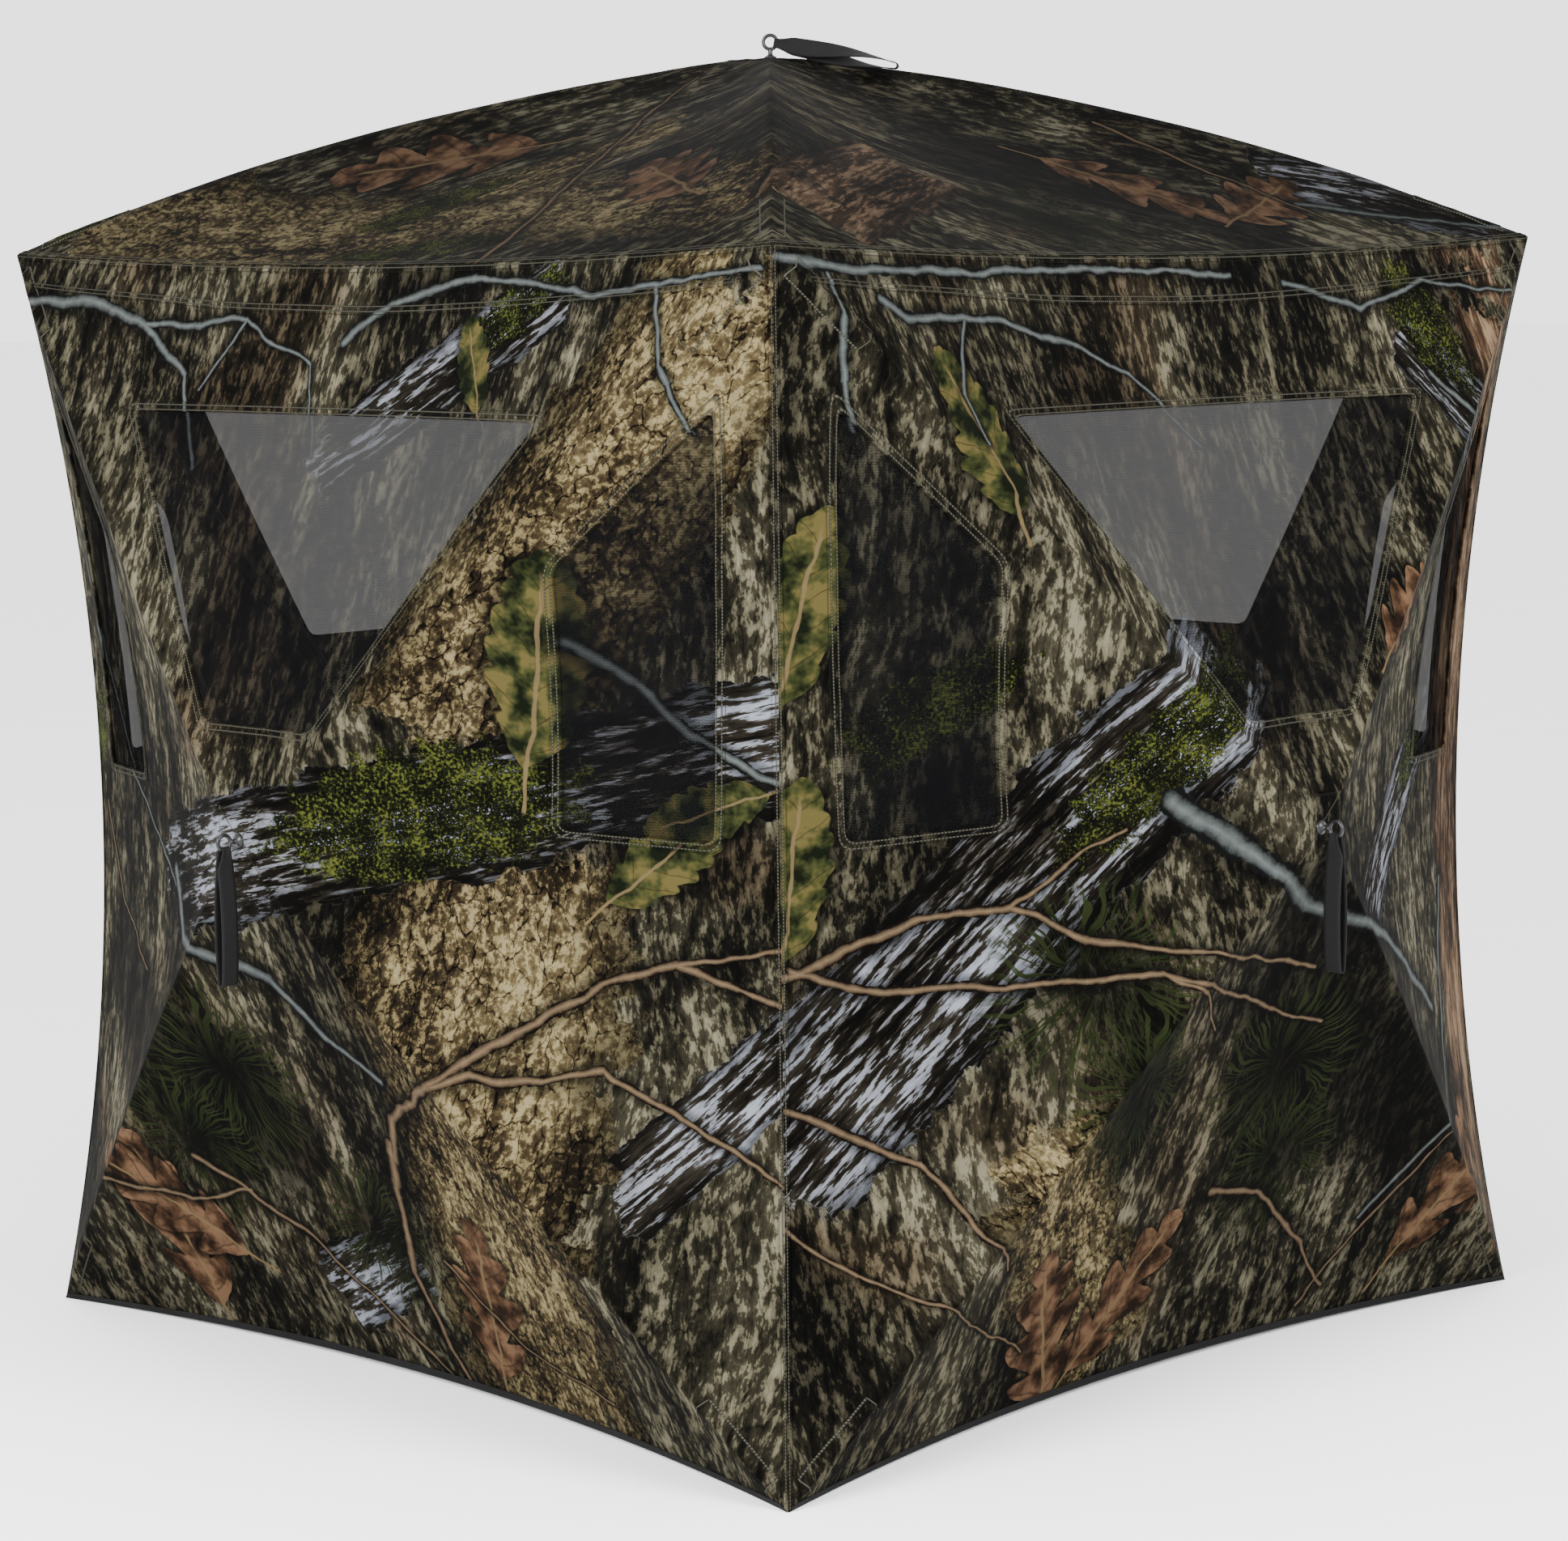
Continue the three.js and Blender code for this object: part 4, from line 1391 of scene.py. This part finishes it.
@dataclass
class Finishes:
    """Every material of the blind, made once."""

    camo: dict[tuple[str, Side], bpy.types.Material] = field(default_factory=dict)
    net: dict[tuple[str, Side], bpy.types.Material] = field(default_factory=dict)
    lining: bpy.types.Material | None = None
    binding: bpy.types.Material | None = None
    cover: bpy.types.Material | None = None
    webbing: bpy.types.Material | None = None
    plastic: bpy.types.Material | None = None
    metal: bpy.types.Material | None = None
    rod: bpy.types.Material | None = None
    thread: bpy.types.Material | None = None

    def make(self) -> "Finishes":
        """Makes the materials."""
        for face, pattern in ((ROOF, ROOF_PRINT), (FRONT, FRONT_PRINT), (RIGHT, RIGHT_PRINT)):
            twin = {"front": "back", "right": "left"}.get(face.name, face.name)
            for side in Side:
                wedge = Wedge(face.hub.xy, face.edge(side, 0.0).xy, face.edge(side, 1.0).xy)
                part = pattern.within(wedge, f"{pattern.name}_{side.name.lower()}")
                self.camo[face.name, side] = self.camo[twin, side] = CamoCloth(part).make()
                if not face.roof and side in WINDOWS:
                    self.net[face.name, side] = self.net[twin, side] = NetCloth(part).make()
        self.lining = PlainCloth("black_coated_lining", (0.005, 0.005, 0.0055, 1), 0.6, 600).make()
        self.binding = PlainCloth("black_hem_tape", (0.004, 0.004, 0.0044, 1), 0.8, 500, 0.0006).make()
        self.cover = PlainCloth("black_window_cover", (0.012, 0.012, 0.013, 1)).make()
        self.webbing = RibbedWebbing().make()
        self.plastic = Moulded("moulded_black_plastic", (0.012, 0.012, 0.013, 1), (0.04, 0.04, 0.042, 1), 0.48).make()
        self.metal = Moulded("black_coated_metal", (0.005, 0.005, 0.005, 1), (0.02, 0.02, 0.021, 1), 0.30, 0.0).make()
        self.rod = RodFinish().make()
        self.thread = PlainCloth("dark_thread", (0.012, 0.012, 0.010, 1), 0.7, 1500).make()
        return self


def outline_area(outline: Outline) -> float:
    """The area inside an outline."""
    pairs = zip(outline, outline[1:] + outline[:1])
    return abs(sum(ax * by - bx * ay for (ax, ay), (bx, by) in pairs)) / 2


# ---------------------------------------------------------------- sub-assemblies


@dataclass
class Panels:
    """The fabric of the walls and the roof: four facets a face, from the edge to the hub's flat square."""

    finishes: Finishes
    columns: int = 54
    rows: int = 38
    thickness: float = 0.0010

    def facet(self, face: Face, side: Side, lift: float = 0.0) -> bmesh.types.BMesh:
        """A facet's flat grid in u and v, with its share and slope kept on each point.

        Args:
            face: The face.
            side: The facet.
            lift: Unused distance kept for layers.

        Returns:
            The mesh.
        """
        bm = bmesh.new()
        bmesh.ops.create_grid(bm, x_segments=self.columns, y_segments=self.rows, size=0.5)
        share_of = bm.verts.layers.float.new("share")
        slope_of = bm.verts.layers.float.new("slope")
        for vert in bm.verts:
            share, slope = vert.co.x + 0.5, vert.co.y + 0.5
            vert[share_of], vert[slope_of] = share, slope
            flat = face.edge(side, share).lerp(face.clamp(side, share), slope)
            vert.co = (flat.x, flat.y, 0)
        return bm

    def drape(self, bm: bmesh.types.BMesh, face: Face, side: Side, lift: float) -> None:
        """Puts a cut facet on the face's surface and lays the print on it.

        Args:
            bm: The facet, flat.
            face: The face.
            side: The facet.
            lift: How far outside the fabric, or inside if below zero.
        """
        share_of = bm.verts.layers.float["share"]
        slope_of = bm.verts.layers.float["slope"]
        cloth = bm.loops.layers.uv.new("cloth")
        bm.loops.layers.uv.new("seam")
        for vert in bm.verts:
            share, slope = vert[share_of], vert[slope_of]
            flat = face.edge(side, share).lerp(face.clamp(side, share), slope)
            if (flat.xy - vert.co.xy).length > 0.0005:
                share, slope = face.locate(side, vert.co.x, vert.co.y)
            vert.co.z = face.skin(side, share, slope, lift).z
        for piece in bm.faces:
            for loop in piece.loops:
                loop[cloth].uv = loop.vert.co.xy
        for vert in bm.verts:
            vert.co = face.to_row(vert.co)

    def declare(self, obj: bpy.types.Object, face: Face, side: Side, hole: float) -> None:
        """Works out a facet's area, a triangle with its window left out, and keeps nothing of it.

        Args:
            obj: The facet; not used.
            face: The face.
            side: Which facet.
            hole: The window's area.
        """
        width = (face.edge(side, 0.0) - face.edge(side, 1.0)).length
        length = face.slant(side)
        round(width * length / 2 - hole, 3)

    def build(self, face: Face) -> None:
        """Makes the four facets of a face."""
        for side in Side:
            bm = self.facet(face, side)
            hole = 0.0
            if not face.roof and side in WINDOWS:
                outline = rounded(WINDOWS[side][1], WINDOW_CORNER)
                cut_to(bm, outline, keep_inside=False)
                hole = outline_area(outline)
            self.drape(bm, face, side, 0.0)
            obj = new_piece(f"fabric_{face.name}_{side.name.lower()}", bm, self.finishes.camo[face.name, side],
                            self.finishes.lining)
            thicken(obj, self.thickness, 1)
            face.bend(obj, side)
            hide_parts("roof_panel" if face.roof else f"wall_{face.name}")
            self.declare(obj, face, side, hole)


@dataclass
class Windows:
    """The mesh screens, their folded hems with stitches, and the two closed covers."""

    finishes: Finishes
    panels: Panels
    lap: float = 0.016
    depth: float = 0.0045
    cover_lap: float = 0.024
    cover_depth: float = 0.0085
    hem: float = 0.0125
    hem_rise: float = 0.0013
    pitch: float = 0.012

    def screen(self, face: Face, side: Side) -> None:
        """Makes a window's mesh."""
        place, outline = WINDOWS[side]
        grown_outline = rounded(grown(outline, self.lap), WINDOW_CORNER)
        bm = self.panels.facet(face, side)
        cut_to(bm, grown_outline, keep_inside=True)
        self.panels.drape(bm, face, side, -self.depth)
        obj = new_piece(f"mesh_{face.name}_{place}", bm, self.finishes.net[face.name, side])
        face.bend(obj, side)
        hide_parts(f"screen_{face.name}_{place}")
        self.declare(obj, grown(outline, self.lap), [f"fabric_{face.name}_{side.name.lower()}"])

    @staticmethod
    def declare(obj: bpy.types.Object, outline: Outline, holders: list[str]) -> None:
        """Works out the area of a screen's or cover's outline and lists its holders, and keeps neither."""
        round(outline_area(outline), 3)
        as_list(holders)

    def cover(self, face: Face, side: Side) -> None:
        """Makes a closed window cover behind the mesh."""
        place, outline = WINDOWS[side]
        bm = self.panels.facet(face, side)
        cut_to(bm, rounded(grown(outline, self.cover_lap), WINDOW_CORNER), keep_inside=True)
        self.panels.drape(bm, face, side, -self.cover_depth)
        obj = new_piece(f"closed_cover_{face.name}", bm, self.finishes.cover)
        thicken(obj, 0.0008)
        face.bend(obj, side)
        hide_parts(f"window_cover_{face.name}")
        self.declare(obj, grown(outline, self.cover_lap), [f"mesh_{face.name}_{place}"])

    def ring(self, face: Face, side: Side) -> None:
        """Makes the folded hem round a window's opening."""
        place, outline = WINDOWS[side]
        inner = rounded(outline, WINDOW_CORNER, 4)
        outer = rounded(grown(outline, self.hem), WINDOW_CORNER + self.hem * 0.6, 4)
        lengths = [0.0]
        points = []
        for k in range(len(inner)):
            a, b = Vector(inner[k]), Vector(inner[(k + 1) % len(inner)])
            c, d = Vector(outer[k]), Vector(outer[(k + 1) % len(inner)])
            steps = max(1, round((b - a).length / self.pitch))
            for step in range(steps):
                points.append((a.lerp(b, step / steps), c.lerp(d, step / steps)))
                lengths.append(lengths[-1] + (b - a).length / steps)
        profile = [(0.0, -0.0035), (0.02, 0.0002), (0.10, self.hem_rise), (0.35, self.hem_rise * 0.7),
                   (0.55, self.hem_rise * 0.9), (0.80, self.hem_rise * 0.8), (0.96, self.hem_rise * 0.5), (1.0, -0.0004)]
        count = len(points)

        def place_point(along: float, across: float) -> tuple[Vector, tuple[float, float]]:
            """A point of the ring."""
            k = round(along * count)
            near, far = points[k % count]
            share, rise = profile[round(across * (len(profile) - 1))]
            spot = near.lerp(far, 1 - share if False else share)
            pucker = 0.0005 * noise.noise(Vector((spot.x * 60, spot.y * 60, 2.0)))
            surface = face.over(side, spot.x, spot.y, rise + pucker * (1 if 0.05 < share < 0.95 else 0))
            return face.to_row(surface), (lengths[k], share * self.hem + 0.0004)

        bm = laid_grid(count, len(profile) - 1, place_point, closed=True)
        bmesh.ops.reverse_faces(bm, faces=bm.faces)
        self.print_on(bm, face)
        obj = new_piece(f"hem_{face.name}_{place}", bm, self.finishes.camo[face.name, side])
        face.bend(obj, side)

    @staticmethod
    def print_on(bm: bmesh.types.BMesh, face: Face) -> None:
        """Lays the face's print on a mesh that is in the part's frame."""
        def to_print(point: Vector) -> tuple[float, float]:
            """The point's u and v."""
            if face.roof:
                return point.x, point.y
            back = quarter_turn(point, -face.quarter)
            return back.x, back.z
        lay_print(bm, to_print)

    def build(self, face: Face) -> None:
        """Makes a wall's three windows."""
        for side in WINDOWS:
            self.screen(face, side)
            self.ring(face, side)


@dataclass
class Seams:
    """The taped seams: the valance under the roof, the corner seams, the hem and the ridge strips."""

    finishes: Finishes
    valance_drop: float = 0.052
    valance_width: float = 0.013
    rise: float = 0.0014
    hem_width: float = 0.013
    corner_width: float = 0.007
    pocket_start: float = 0.035
    pocket_length: float = 0.125
    pocket_width: float = 0.032

    def band(self, name: str, face: Face, side: Side, offset: float, width: float, rise: float,
             finish: bpy.types.Material, wobble: float = 0.0, count: int = 120) -> bpy.types.Object:
        """A strip sewn along a side of a face.

        Args:
            name: The piece's name.
            face: The face.
            side: The side that it follows.
            offset: From the edge to the strip.
            width: The strip's width.
            rise: How proud it stands.
            finish: Its material.
            wobble: How much its line wanders.
            count: Steps along it.

        Returns:
            The object.
        """
        profile = [(0.0, -0.0005), (0.03, rise * 0.8), (0.25, rise), (0.5, rise * 0.8), (0.75, rise), (0.97, rise * 0.8),
                   (1.0, -0.0005)]
        length = (face.edge(side, 0.0) - face.edge(side, 1.0)).length

        def place_point(along: float, across: float) -> tuple[Vector, tuple[float, float]]:
            """A point of the strip."""
            share, lift = profile[round(across * (len(profile) - 1))]
            reach = (face.edge(side, along) - face.clamp(side, along)).length
            wander = wobble * noise.noise(Vector((along * 7, offset * 90, 4.0)))
            slope = (offset + wander + share * width) / reach
            point = face.skin(side, along, slope, lift + 0.3 * wander * 0)
            return face.to_row(point), (along * length, share * width + 0.0004)

        bm = laid_grid(count, len(profile) - 1, place_point)
        Windows.print_on(bm, face)
        obj = new_piece(name, bm, finish)
        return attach(obj, "root")

    def pocket(self, face: Face, corner: Side) -> None:
        """Sews a doubled pocket for a pole's tip over a corner's ridge.

        Args:
            face: The face.
            corner: The side that starts at the corner.
        """
        start = face.edge(corner, 0.0).xy
        toward = (face.hub.xy - start).normalized()
        sideways = Vector((-toward.y, toward.x))
        before = Side((corner.value + 3) % 4)

        def place_point(along: float, across: float) -> tuple[Vector, tuple[float, float]]:
            """A point of the pocket."""
            off = (across - 0.5) * self.pocket_width
            inset = min(self.pocket_width / 2 - abs(off), along * self.pocket_length,
                        (1 - along) * self.pocket_length)
            spot = start + toward * (self.pocket_start + along * self.pocket_length) + sideways * off
            crumple = 0.0006 * noise.noise(Vector((spot.x * 70, spot.y * 70, 9.0)))
            lift = (0.0016 + crumple) * smooth(0.0, 0.0016, inset) - 0.0004
            point = face.over(before if off > 0 else corner, spot.x, spot.y, lift)
            return face.to_row(point), (along * self.pocket_length, 0.0004 + min(inset, 0.0050))

        bm = laid_grid(36, 14, place_point)
        Windows.print_on(bm, face)
        obj = new_piece(f"pocket_{face.name}_{corner.value}", bm, self.finishes.camo[face.name, corner])
        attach(obj, "root")

    def build(self, face: Face) -> None:
        """Makes the strips and pockets of a face."""
        for corner in Side:
            self.pocket(face, corner)
        camo = {side: self.finishes.camo[face.name, side] for side in Side}
        if face.roof:
            for side in Side:
                self.band(f"roof_seam_{side.name.lower()}", face, side, 0.0015, 0.011, 0.0012, camo[side])
            return
        self.band(f"valance_{face.name}", face, Side.TOP, self.valance_drop, self.valance_width, self.rise,
                  camo[Side.TOP], 0.0025, 160)
        self.band(f"eave_{face.name}", face, Side.TOP, 0.001, 0.008, 0.0010, camo[Side.TOP], 0.0, 160)
        self.band(f"hem_tape_{face.name}", face, Side.BOTTOM, 0.0, self.hem_width, 0.0016, self.finishes.binding,
                  0.0, 160)
        for side in (Side.LEFT, Side.RIGHT):
            self.band(f"corner_seam_{face.name}_{side.name.lower()}", face, side, 0.0008, self.corner_width, 0.0009,
                      camo[side], 0.0, 160)


@dataclass
class EyeBolts:
    """The knob and ring in the middle of each hub's fabric, with the stitched square patch round it."""

    finishes: Finishes
    patch_half: float = 0.043
    knob_radius: float = 0.0095
    knob_height: float = 0.0060
    neck_radius: float = 0.0034
    ring_centre: float = 0.0246
    ring_radius: float = 0.0094
    ring_wire: float = 0.0025
    shaft_radius: float = 0.003
    shaft_end: float = -0.0604
    nut_radius: float = 0.008
    roof_turn: float = 128.0

    def spun(self, profile: Sequence[tuple[float, float]], steps: int = 28) -> bmesh.types.BMesh:
        """A profile of radius and height, spun round the third axis.

        Args:
            profile: Its points.
            steps: Segments round.

        Returns:
            The mesh.
        """
        bm = bmesh.new()
        verts = [bm.verts.new((radius, 0, height)) for radius, height in profile]
        edges = [bm.edges.new(pair) for pair in zip(verts, verts[1:])]
        bmesh.ops.spin(bm, geom=[*verts, *edges], cent=(0, 0, 0), axis=(0, 0, 1), angle=2 * math.pi, steps=steps,
                       use_merge=True)
        bmesh.ops.remove_doubles(bm, verts=bm.verts, dist=1e-6)
        bmesh.ops.recalc_face_normals(bm, faces=bm.faces)
        return bm

    def ring(self) -> bmesh.types.BMesh:
        """The ring, upright in the plane of its second and third axes."""
        bm = bmesh.new()
        bmesh.ops.create_circle(bm, segments=12, radius=self.ring_wire,
                                matrix=Matrix.Translation((0, self.ring_radius, 0)) @ Matrix.Rotation(0, 4, "X"))
        bmesh.ops.rotate(bm, verts=bm.verts, cent=(0, self.ring_radius, 0), matrix=Matrix.Rotation(0, 3, "X"))
        bmesh.ops.spin(bm, geom=[*bm.verts, *bm.edges], cent=(0, 0, 0), axis=(1, 0, 0), angle=2 * math.pi, steps=40,
                       use_merge=True)
        bmesh.ops.remove_doubles(bm, verts=bm.verts, dist=1e-6)
        bmesh.ops.recalc_face_normals(bm, faces=bm.faces)
        bmesh.ops.translate(bm, verts=bm.verts, vec=(0, 0, self.ring_centre))
        return bm

    def bolt(self) -> bmesh.types.BMesh:
        """Knob, neck, shaft and nut, from the ring inwards."""
        knob, top = self.knob_radius, self.knob_height
        collar = self.ring_centre - self.ring_radius
        return self.spun([
            (0.0, collar + 0.0012), (self.neck_radius * 0.9, collar + 0.0008), (self.neck_radius, collar - 0.002),
            (self.neck_radius * 0.86, top + 0.003), (self.neck_radius * 1.3, top + 0.0006), (knob * 0.55, top),
            (knob * 0.80, top * 0.86), (knob * 0.94, top * 0.55), (knob, top * 0.25), (knob * 0.99, 0.0004),
            (self.shaft_radius, 0.0004), (self.shaft_radius, self.shaft_end + 0.0062),
            (self.nut_radius, self.shaft_end + 0.0060), (self.nut_radius, self.shaft_end + 0.0010),
            (self.nut_radius * 0.8, self.shaft_end), (0.0, self.shaft_end - 0.0018)])

    def patch(self, face: Face) -> bpy.types.Object:
        """The sewn square that covers the hub's clamp."""
        half = self.patch_half

        def place_point(along: float, across: float) -> tuple[Vector, tuple[float, float]]:
            """A point of the patch."""
            u, v = (2 * along - 1) * half, (2 * across - 1) * half
            inset = half - max(abs(u), abs(v))
            lift = 0.0016 * smooth(0.0, 0.0015, inset) - 0.0006
            lift += 0.0007 * noise.noise(Vector((u * 55, v * 55, face.quarter)))
            drop = 0.36 * max(max(abs(u), abs(v)) - SHAPE.clamp_half, 0.0)
            diagonal = abs(abs(u) - abs(v)) / math.sqrt(2)
            mark = 0.0022 + min(diagonal, abs(inset - 0.003), 0.0033)
            hub = face.hub
            return face.to_row(Vector((hub.x + u, hub.y + v, hub.z + lift - drop))), (u + v, mark)

        bm = laid_grid(44, 44, place_point)
        Windows.print_on(bm, face)
        obj = new_piece(f"hub_patch_{face.name}", bm, self.finishes.camo[face.name, Side.BOTTOM],
                        self.finishes.lining)
        thicken(obj, 0.0009, 1)
        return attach(obj, face.hub_body)

    def build(self, face: Face) -> None:
        """Makes a hub's patch, knob and ring."""
        self.patch(face)
        turn = self.roof_turn if face.roof else 0.0
        for name, bm in (("ring", self.ring()), ("knob", self.bolt())):
            bmesh.ops.rotate(bm, verts=bm.verts, cent=(0, 0, 0), matrix=Matrix.Rotation(math.radians(turn), 3, "Z"))
            for vert in bm.verts:
                vert.co = face.to_row(vert.co + face.hub)
            obj = new_piece(f"eye_{name}_{face.name}", bm, self.finishes.metal)
            if name == "knob":
                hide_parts(f"eye_bolt_{face.name}")
            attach(obj, face.hub_body)


@dataclass
class PullStraps:
    """A loop of webbing through each ring, sewn below it."""

    finishes: Finishes
    ring_centre: float = 0.0246
    ring_radius: float = 0.0096
    inner: float = 0.0034
    thickness: float = 0.0014
    width: float = 0.0245
    neck: float = 0.0125
    taper: float = 0.026
    length: float = 0.165
    spread: float = 0.0030
    roof_turn: float = 128.0
    roof_drop: float = 11.5

    def centre_line(self, steps: int = 72) -> list[tuple[float, float]]:
        """The loop's line, as x across the strands and y along them.

        Args:
            steps: How many points.

        Returns:
            The points, once round, from the ring.
        """
        radius = self.inner + self.thickness / 2
        points = []
        for k in range(steps):
            turn = k / steps
            if turn < 0.12 or turn >= 0.88:
                angle = math.pi / 2 - (turn if turn < 0.5 else turn - 1) / 0.12 * math.pi / 2
                points.append((radius * math.cos(angle), radius * math.sin(angle)))
            elif 0.44 <= turn < 0.56:
                angle = -(turn - 0.44) / 0.12 * math.pi
                points.append((radius * math.cos(angle), -self.length + radius * math.sin(angle)))
            else:
                right = turn < 0.5
                share = (turn - 0.12) / 0.32 if right else (0.88 - turn) / 0.32
                gape = radius - 0.0022 * math.exp(-(((share - 0.16) / 0.06) ** 2))
                gape += self.spread * arch(min(max((share - 0.25) / 0.75, 0), 1))
                points.append((gape if right else -gape, -share * self.length))
        return points

    def build(self, face: Face) -> None:
        """Makes a face's strap, which swings on the ring."""
        line = self.centre_line()
        count = len(line)
        twist = math.pi / 2 if face.roof else 0.0
        lengths = [0.0]
        for k in range(count):
            lengths.append(lengths[-1] + (Vector(line[(k + 1) % count]) - Vector(line[k])).length)
        turn = Matrix.Rotation(math.radians(self.roof_turn if face.roof else 0.0), 3, "Z")
        drop = Matrix.Rotation(math.radians(self.roof_drop if face.roof else 0.0), 3, "X")

        def place_point(along: float, across: float) -> tuple[Vector, tuple[float, float]]:
            """A point of the webbing."""
            k = round(along * count)
            x, y = line[k % count]
            wide = self.neck + (self.width - self.neck) * smooth(0.0, self.taper, -y)
            z = (across - 0.5) * wide
            cup = 0.0012 * smooth(self.taper, 0.0, -y) * (2 * across - 1) ** 2
            local = Vector((x * (1 + cup / 0.004), y, z))
            local = Matrix.Rotation(twist * smooth(0, self.length, -y), 3, "Y") @ local
            local.y -= self.ring_radius
            placed = turn @ (drop @ local) + Vector((0, 0, self.ring_centre)) + face.hub
            return face.to_row(placed), (lengths[k], across * self.width)

        bm = laid_grid(count, 6, place_point, closed=True)
        bmesh.ops.recalc_face_normals(bm, faces=bm.faces)
        lay_print(bm, lambda point: (point.x, point.z))
        obj = new_piece(f"strap_{face.name}", bm, self.finishes.webbing)
        solid = obj.modifiers.new("thickness", "SOLIDIFY")
        solid.thickness, solid.offset = self.thickness, 0.0
        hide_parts(f"pull_strap_{face.name}")
        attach(obj, f"pull_strap_{face.name}")


@dataclass
class Carried:
    """The CAD's own hubs, poles, feet and zip slider, with their finishes."""

    finishes: Finishes

    def build(self) -> None:
        """Gives the shown CAD nodes their materials."""
        for name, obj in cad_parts.items():
            if obj.hide_render:
                continue
            if name.startswith("pole_"):
                finish = self.finishes.rod
            elif name.startswith(("hub_", "corner_foot")):
                finish = self.finishes.plastic
            elif name == "door_zip_slider":
                finish = self.finishes.metal
            else:
                continue
            obj.data.materials.clear()
            obj.data.materials.append(finish)
            LOG.info("%s kept", name)


@dataclass
class Studio:
    """The pale floor, the soft lights and the camera."""

    lens: float = 91.94
    distance: float = 5.5694
    height: float = 1.4629
    pitch: float = 7.345
    yaw: float = -0.07
    roll: float = -0.70

    def floor(self) -> None:
        """A wide pale floor."""
        g = Graph("pale_floor")
        cloud = g.noise(g.place(), 3, 3, 0.5)
        material = g.surface(Base_Color=g.mix(cloud, (0.90, 0.90, 0.90, 1), (0.93, 0.93, 0.93, 1)), Roughness=0.9,
                             Specular_IOR_Level=0.0)
        bm = bmesh.new()
        bmesh.ops.create_grid(bm, x_segments=4, y_segments=4, size=60.0)
        floor = new_piece("studio_floor", bm, material)

    def light(self, name: str, azimuth: float, elevation: float, distance: float, size: float, power: float) -> None:
        """Adds a square soft light aimed at the blind.

        Args:
            name: Its name.
            azimuth: Degrees from the view along +Y, anticlockwise.
            elevation: Degrees up.
            distance: From the blind.
            size: Its side.
            power: In watts.
        """
        data = bpy.data.lights.new(name, "AREA")
        data.energy, data.size = power, size
        lamp = bpy.data.objects.new(name, data)
        around, up = math.radians(azimuth), math.radians(elevation)
        middle = Vector((0, 0, 0.8))
        away = Vector((math.sin(around) * math.cos(up), -math.cos(around) * math.cos(up), math.sin(up)))
        lamp.location = middle + away * distance
        lamp.rotation_euler = away.to_track_quat("Z", "Y").to_euler()
        bpy.context.scene.collection.objects.link(lamp)

    def camera(self) -> None:
        """The view at the near corner."""
        data = bpy.data.cameras.new("view")
        data.lens, data.sensor_width, data.clip_end = self.lens, 36.0, 200.0
        view = bpy.data.objects.new("view", data)
        azimuth = math.radians(45)
        view.location = (math.sin(azimuth) * self.distance, -math.cos(azimuth) * self.distance, self.height)
        heading = Matrix.Rotation(azimuth + math.radians(self.yaw), 4, "Z")
        tilt = Matrix.Rotation(math.radians(90 - self.pitch), 4, "X")
        turn = Matrix.Rotation(math.radians(self.roll), 4, "Z")
        view.rotation_euler = (heading @ tilt @ turn).to_euler()
        bpy.context.scene.collection.objects.link(view)
        bpy.context.scene.camera = view

    def build(self) -> None:
        """Makes the studio."""
        self.floor()
        world = bpy.data.worlds.new("pale_world")
        world.use_nodes = True
        world.node_tree.nodes["Background"].inputs[0].default_value = (1, 1, 1, 1)
        world.node_tree.nodes["Background"].inputs[1].default_value = 2.5
        bpy.context.scene.world = world
        self.light("key_light", 12, 20, 6.0, 2.6, 900)
        self.light("side_light", 86, 24, 6.0, 2.6, 620)
        self.camera()


def main() -> None:
    """Builds the blind in its frame and the studio round it."""
    logging.basicConfig(level=logging.INFO, format="%(message)s")
    Studio().build()
    finishes = Finishes().make()
    panels = Panels(finishes)
    windows = Windows(finishes, panels)
    seams, bolts, straps = Seams(finishes), EyeBolts(finishes), PullStraps(finishes)
    for face in FACES:
        panels.build(face)
        seams.build(face)
        bolts.build(face)
        straps.build(face)
        if not face.roof:
            windows.build(face)
    windows.cover(BACK, Side.RIGHT)
    windows.cover(LEFT, Side.LEFT)
    Carried(finishes).build()


if __name__ == "__main__":
    main()
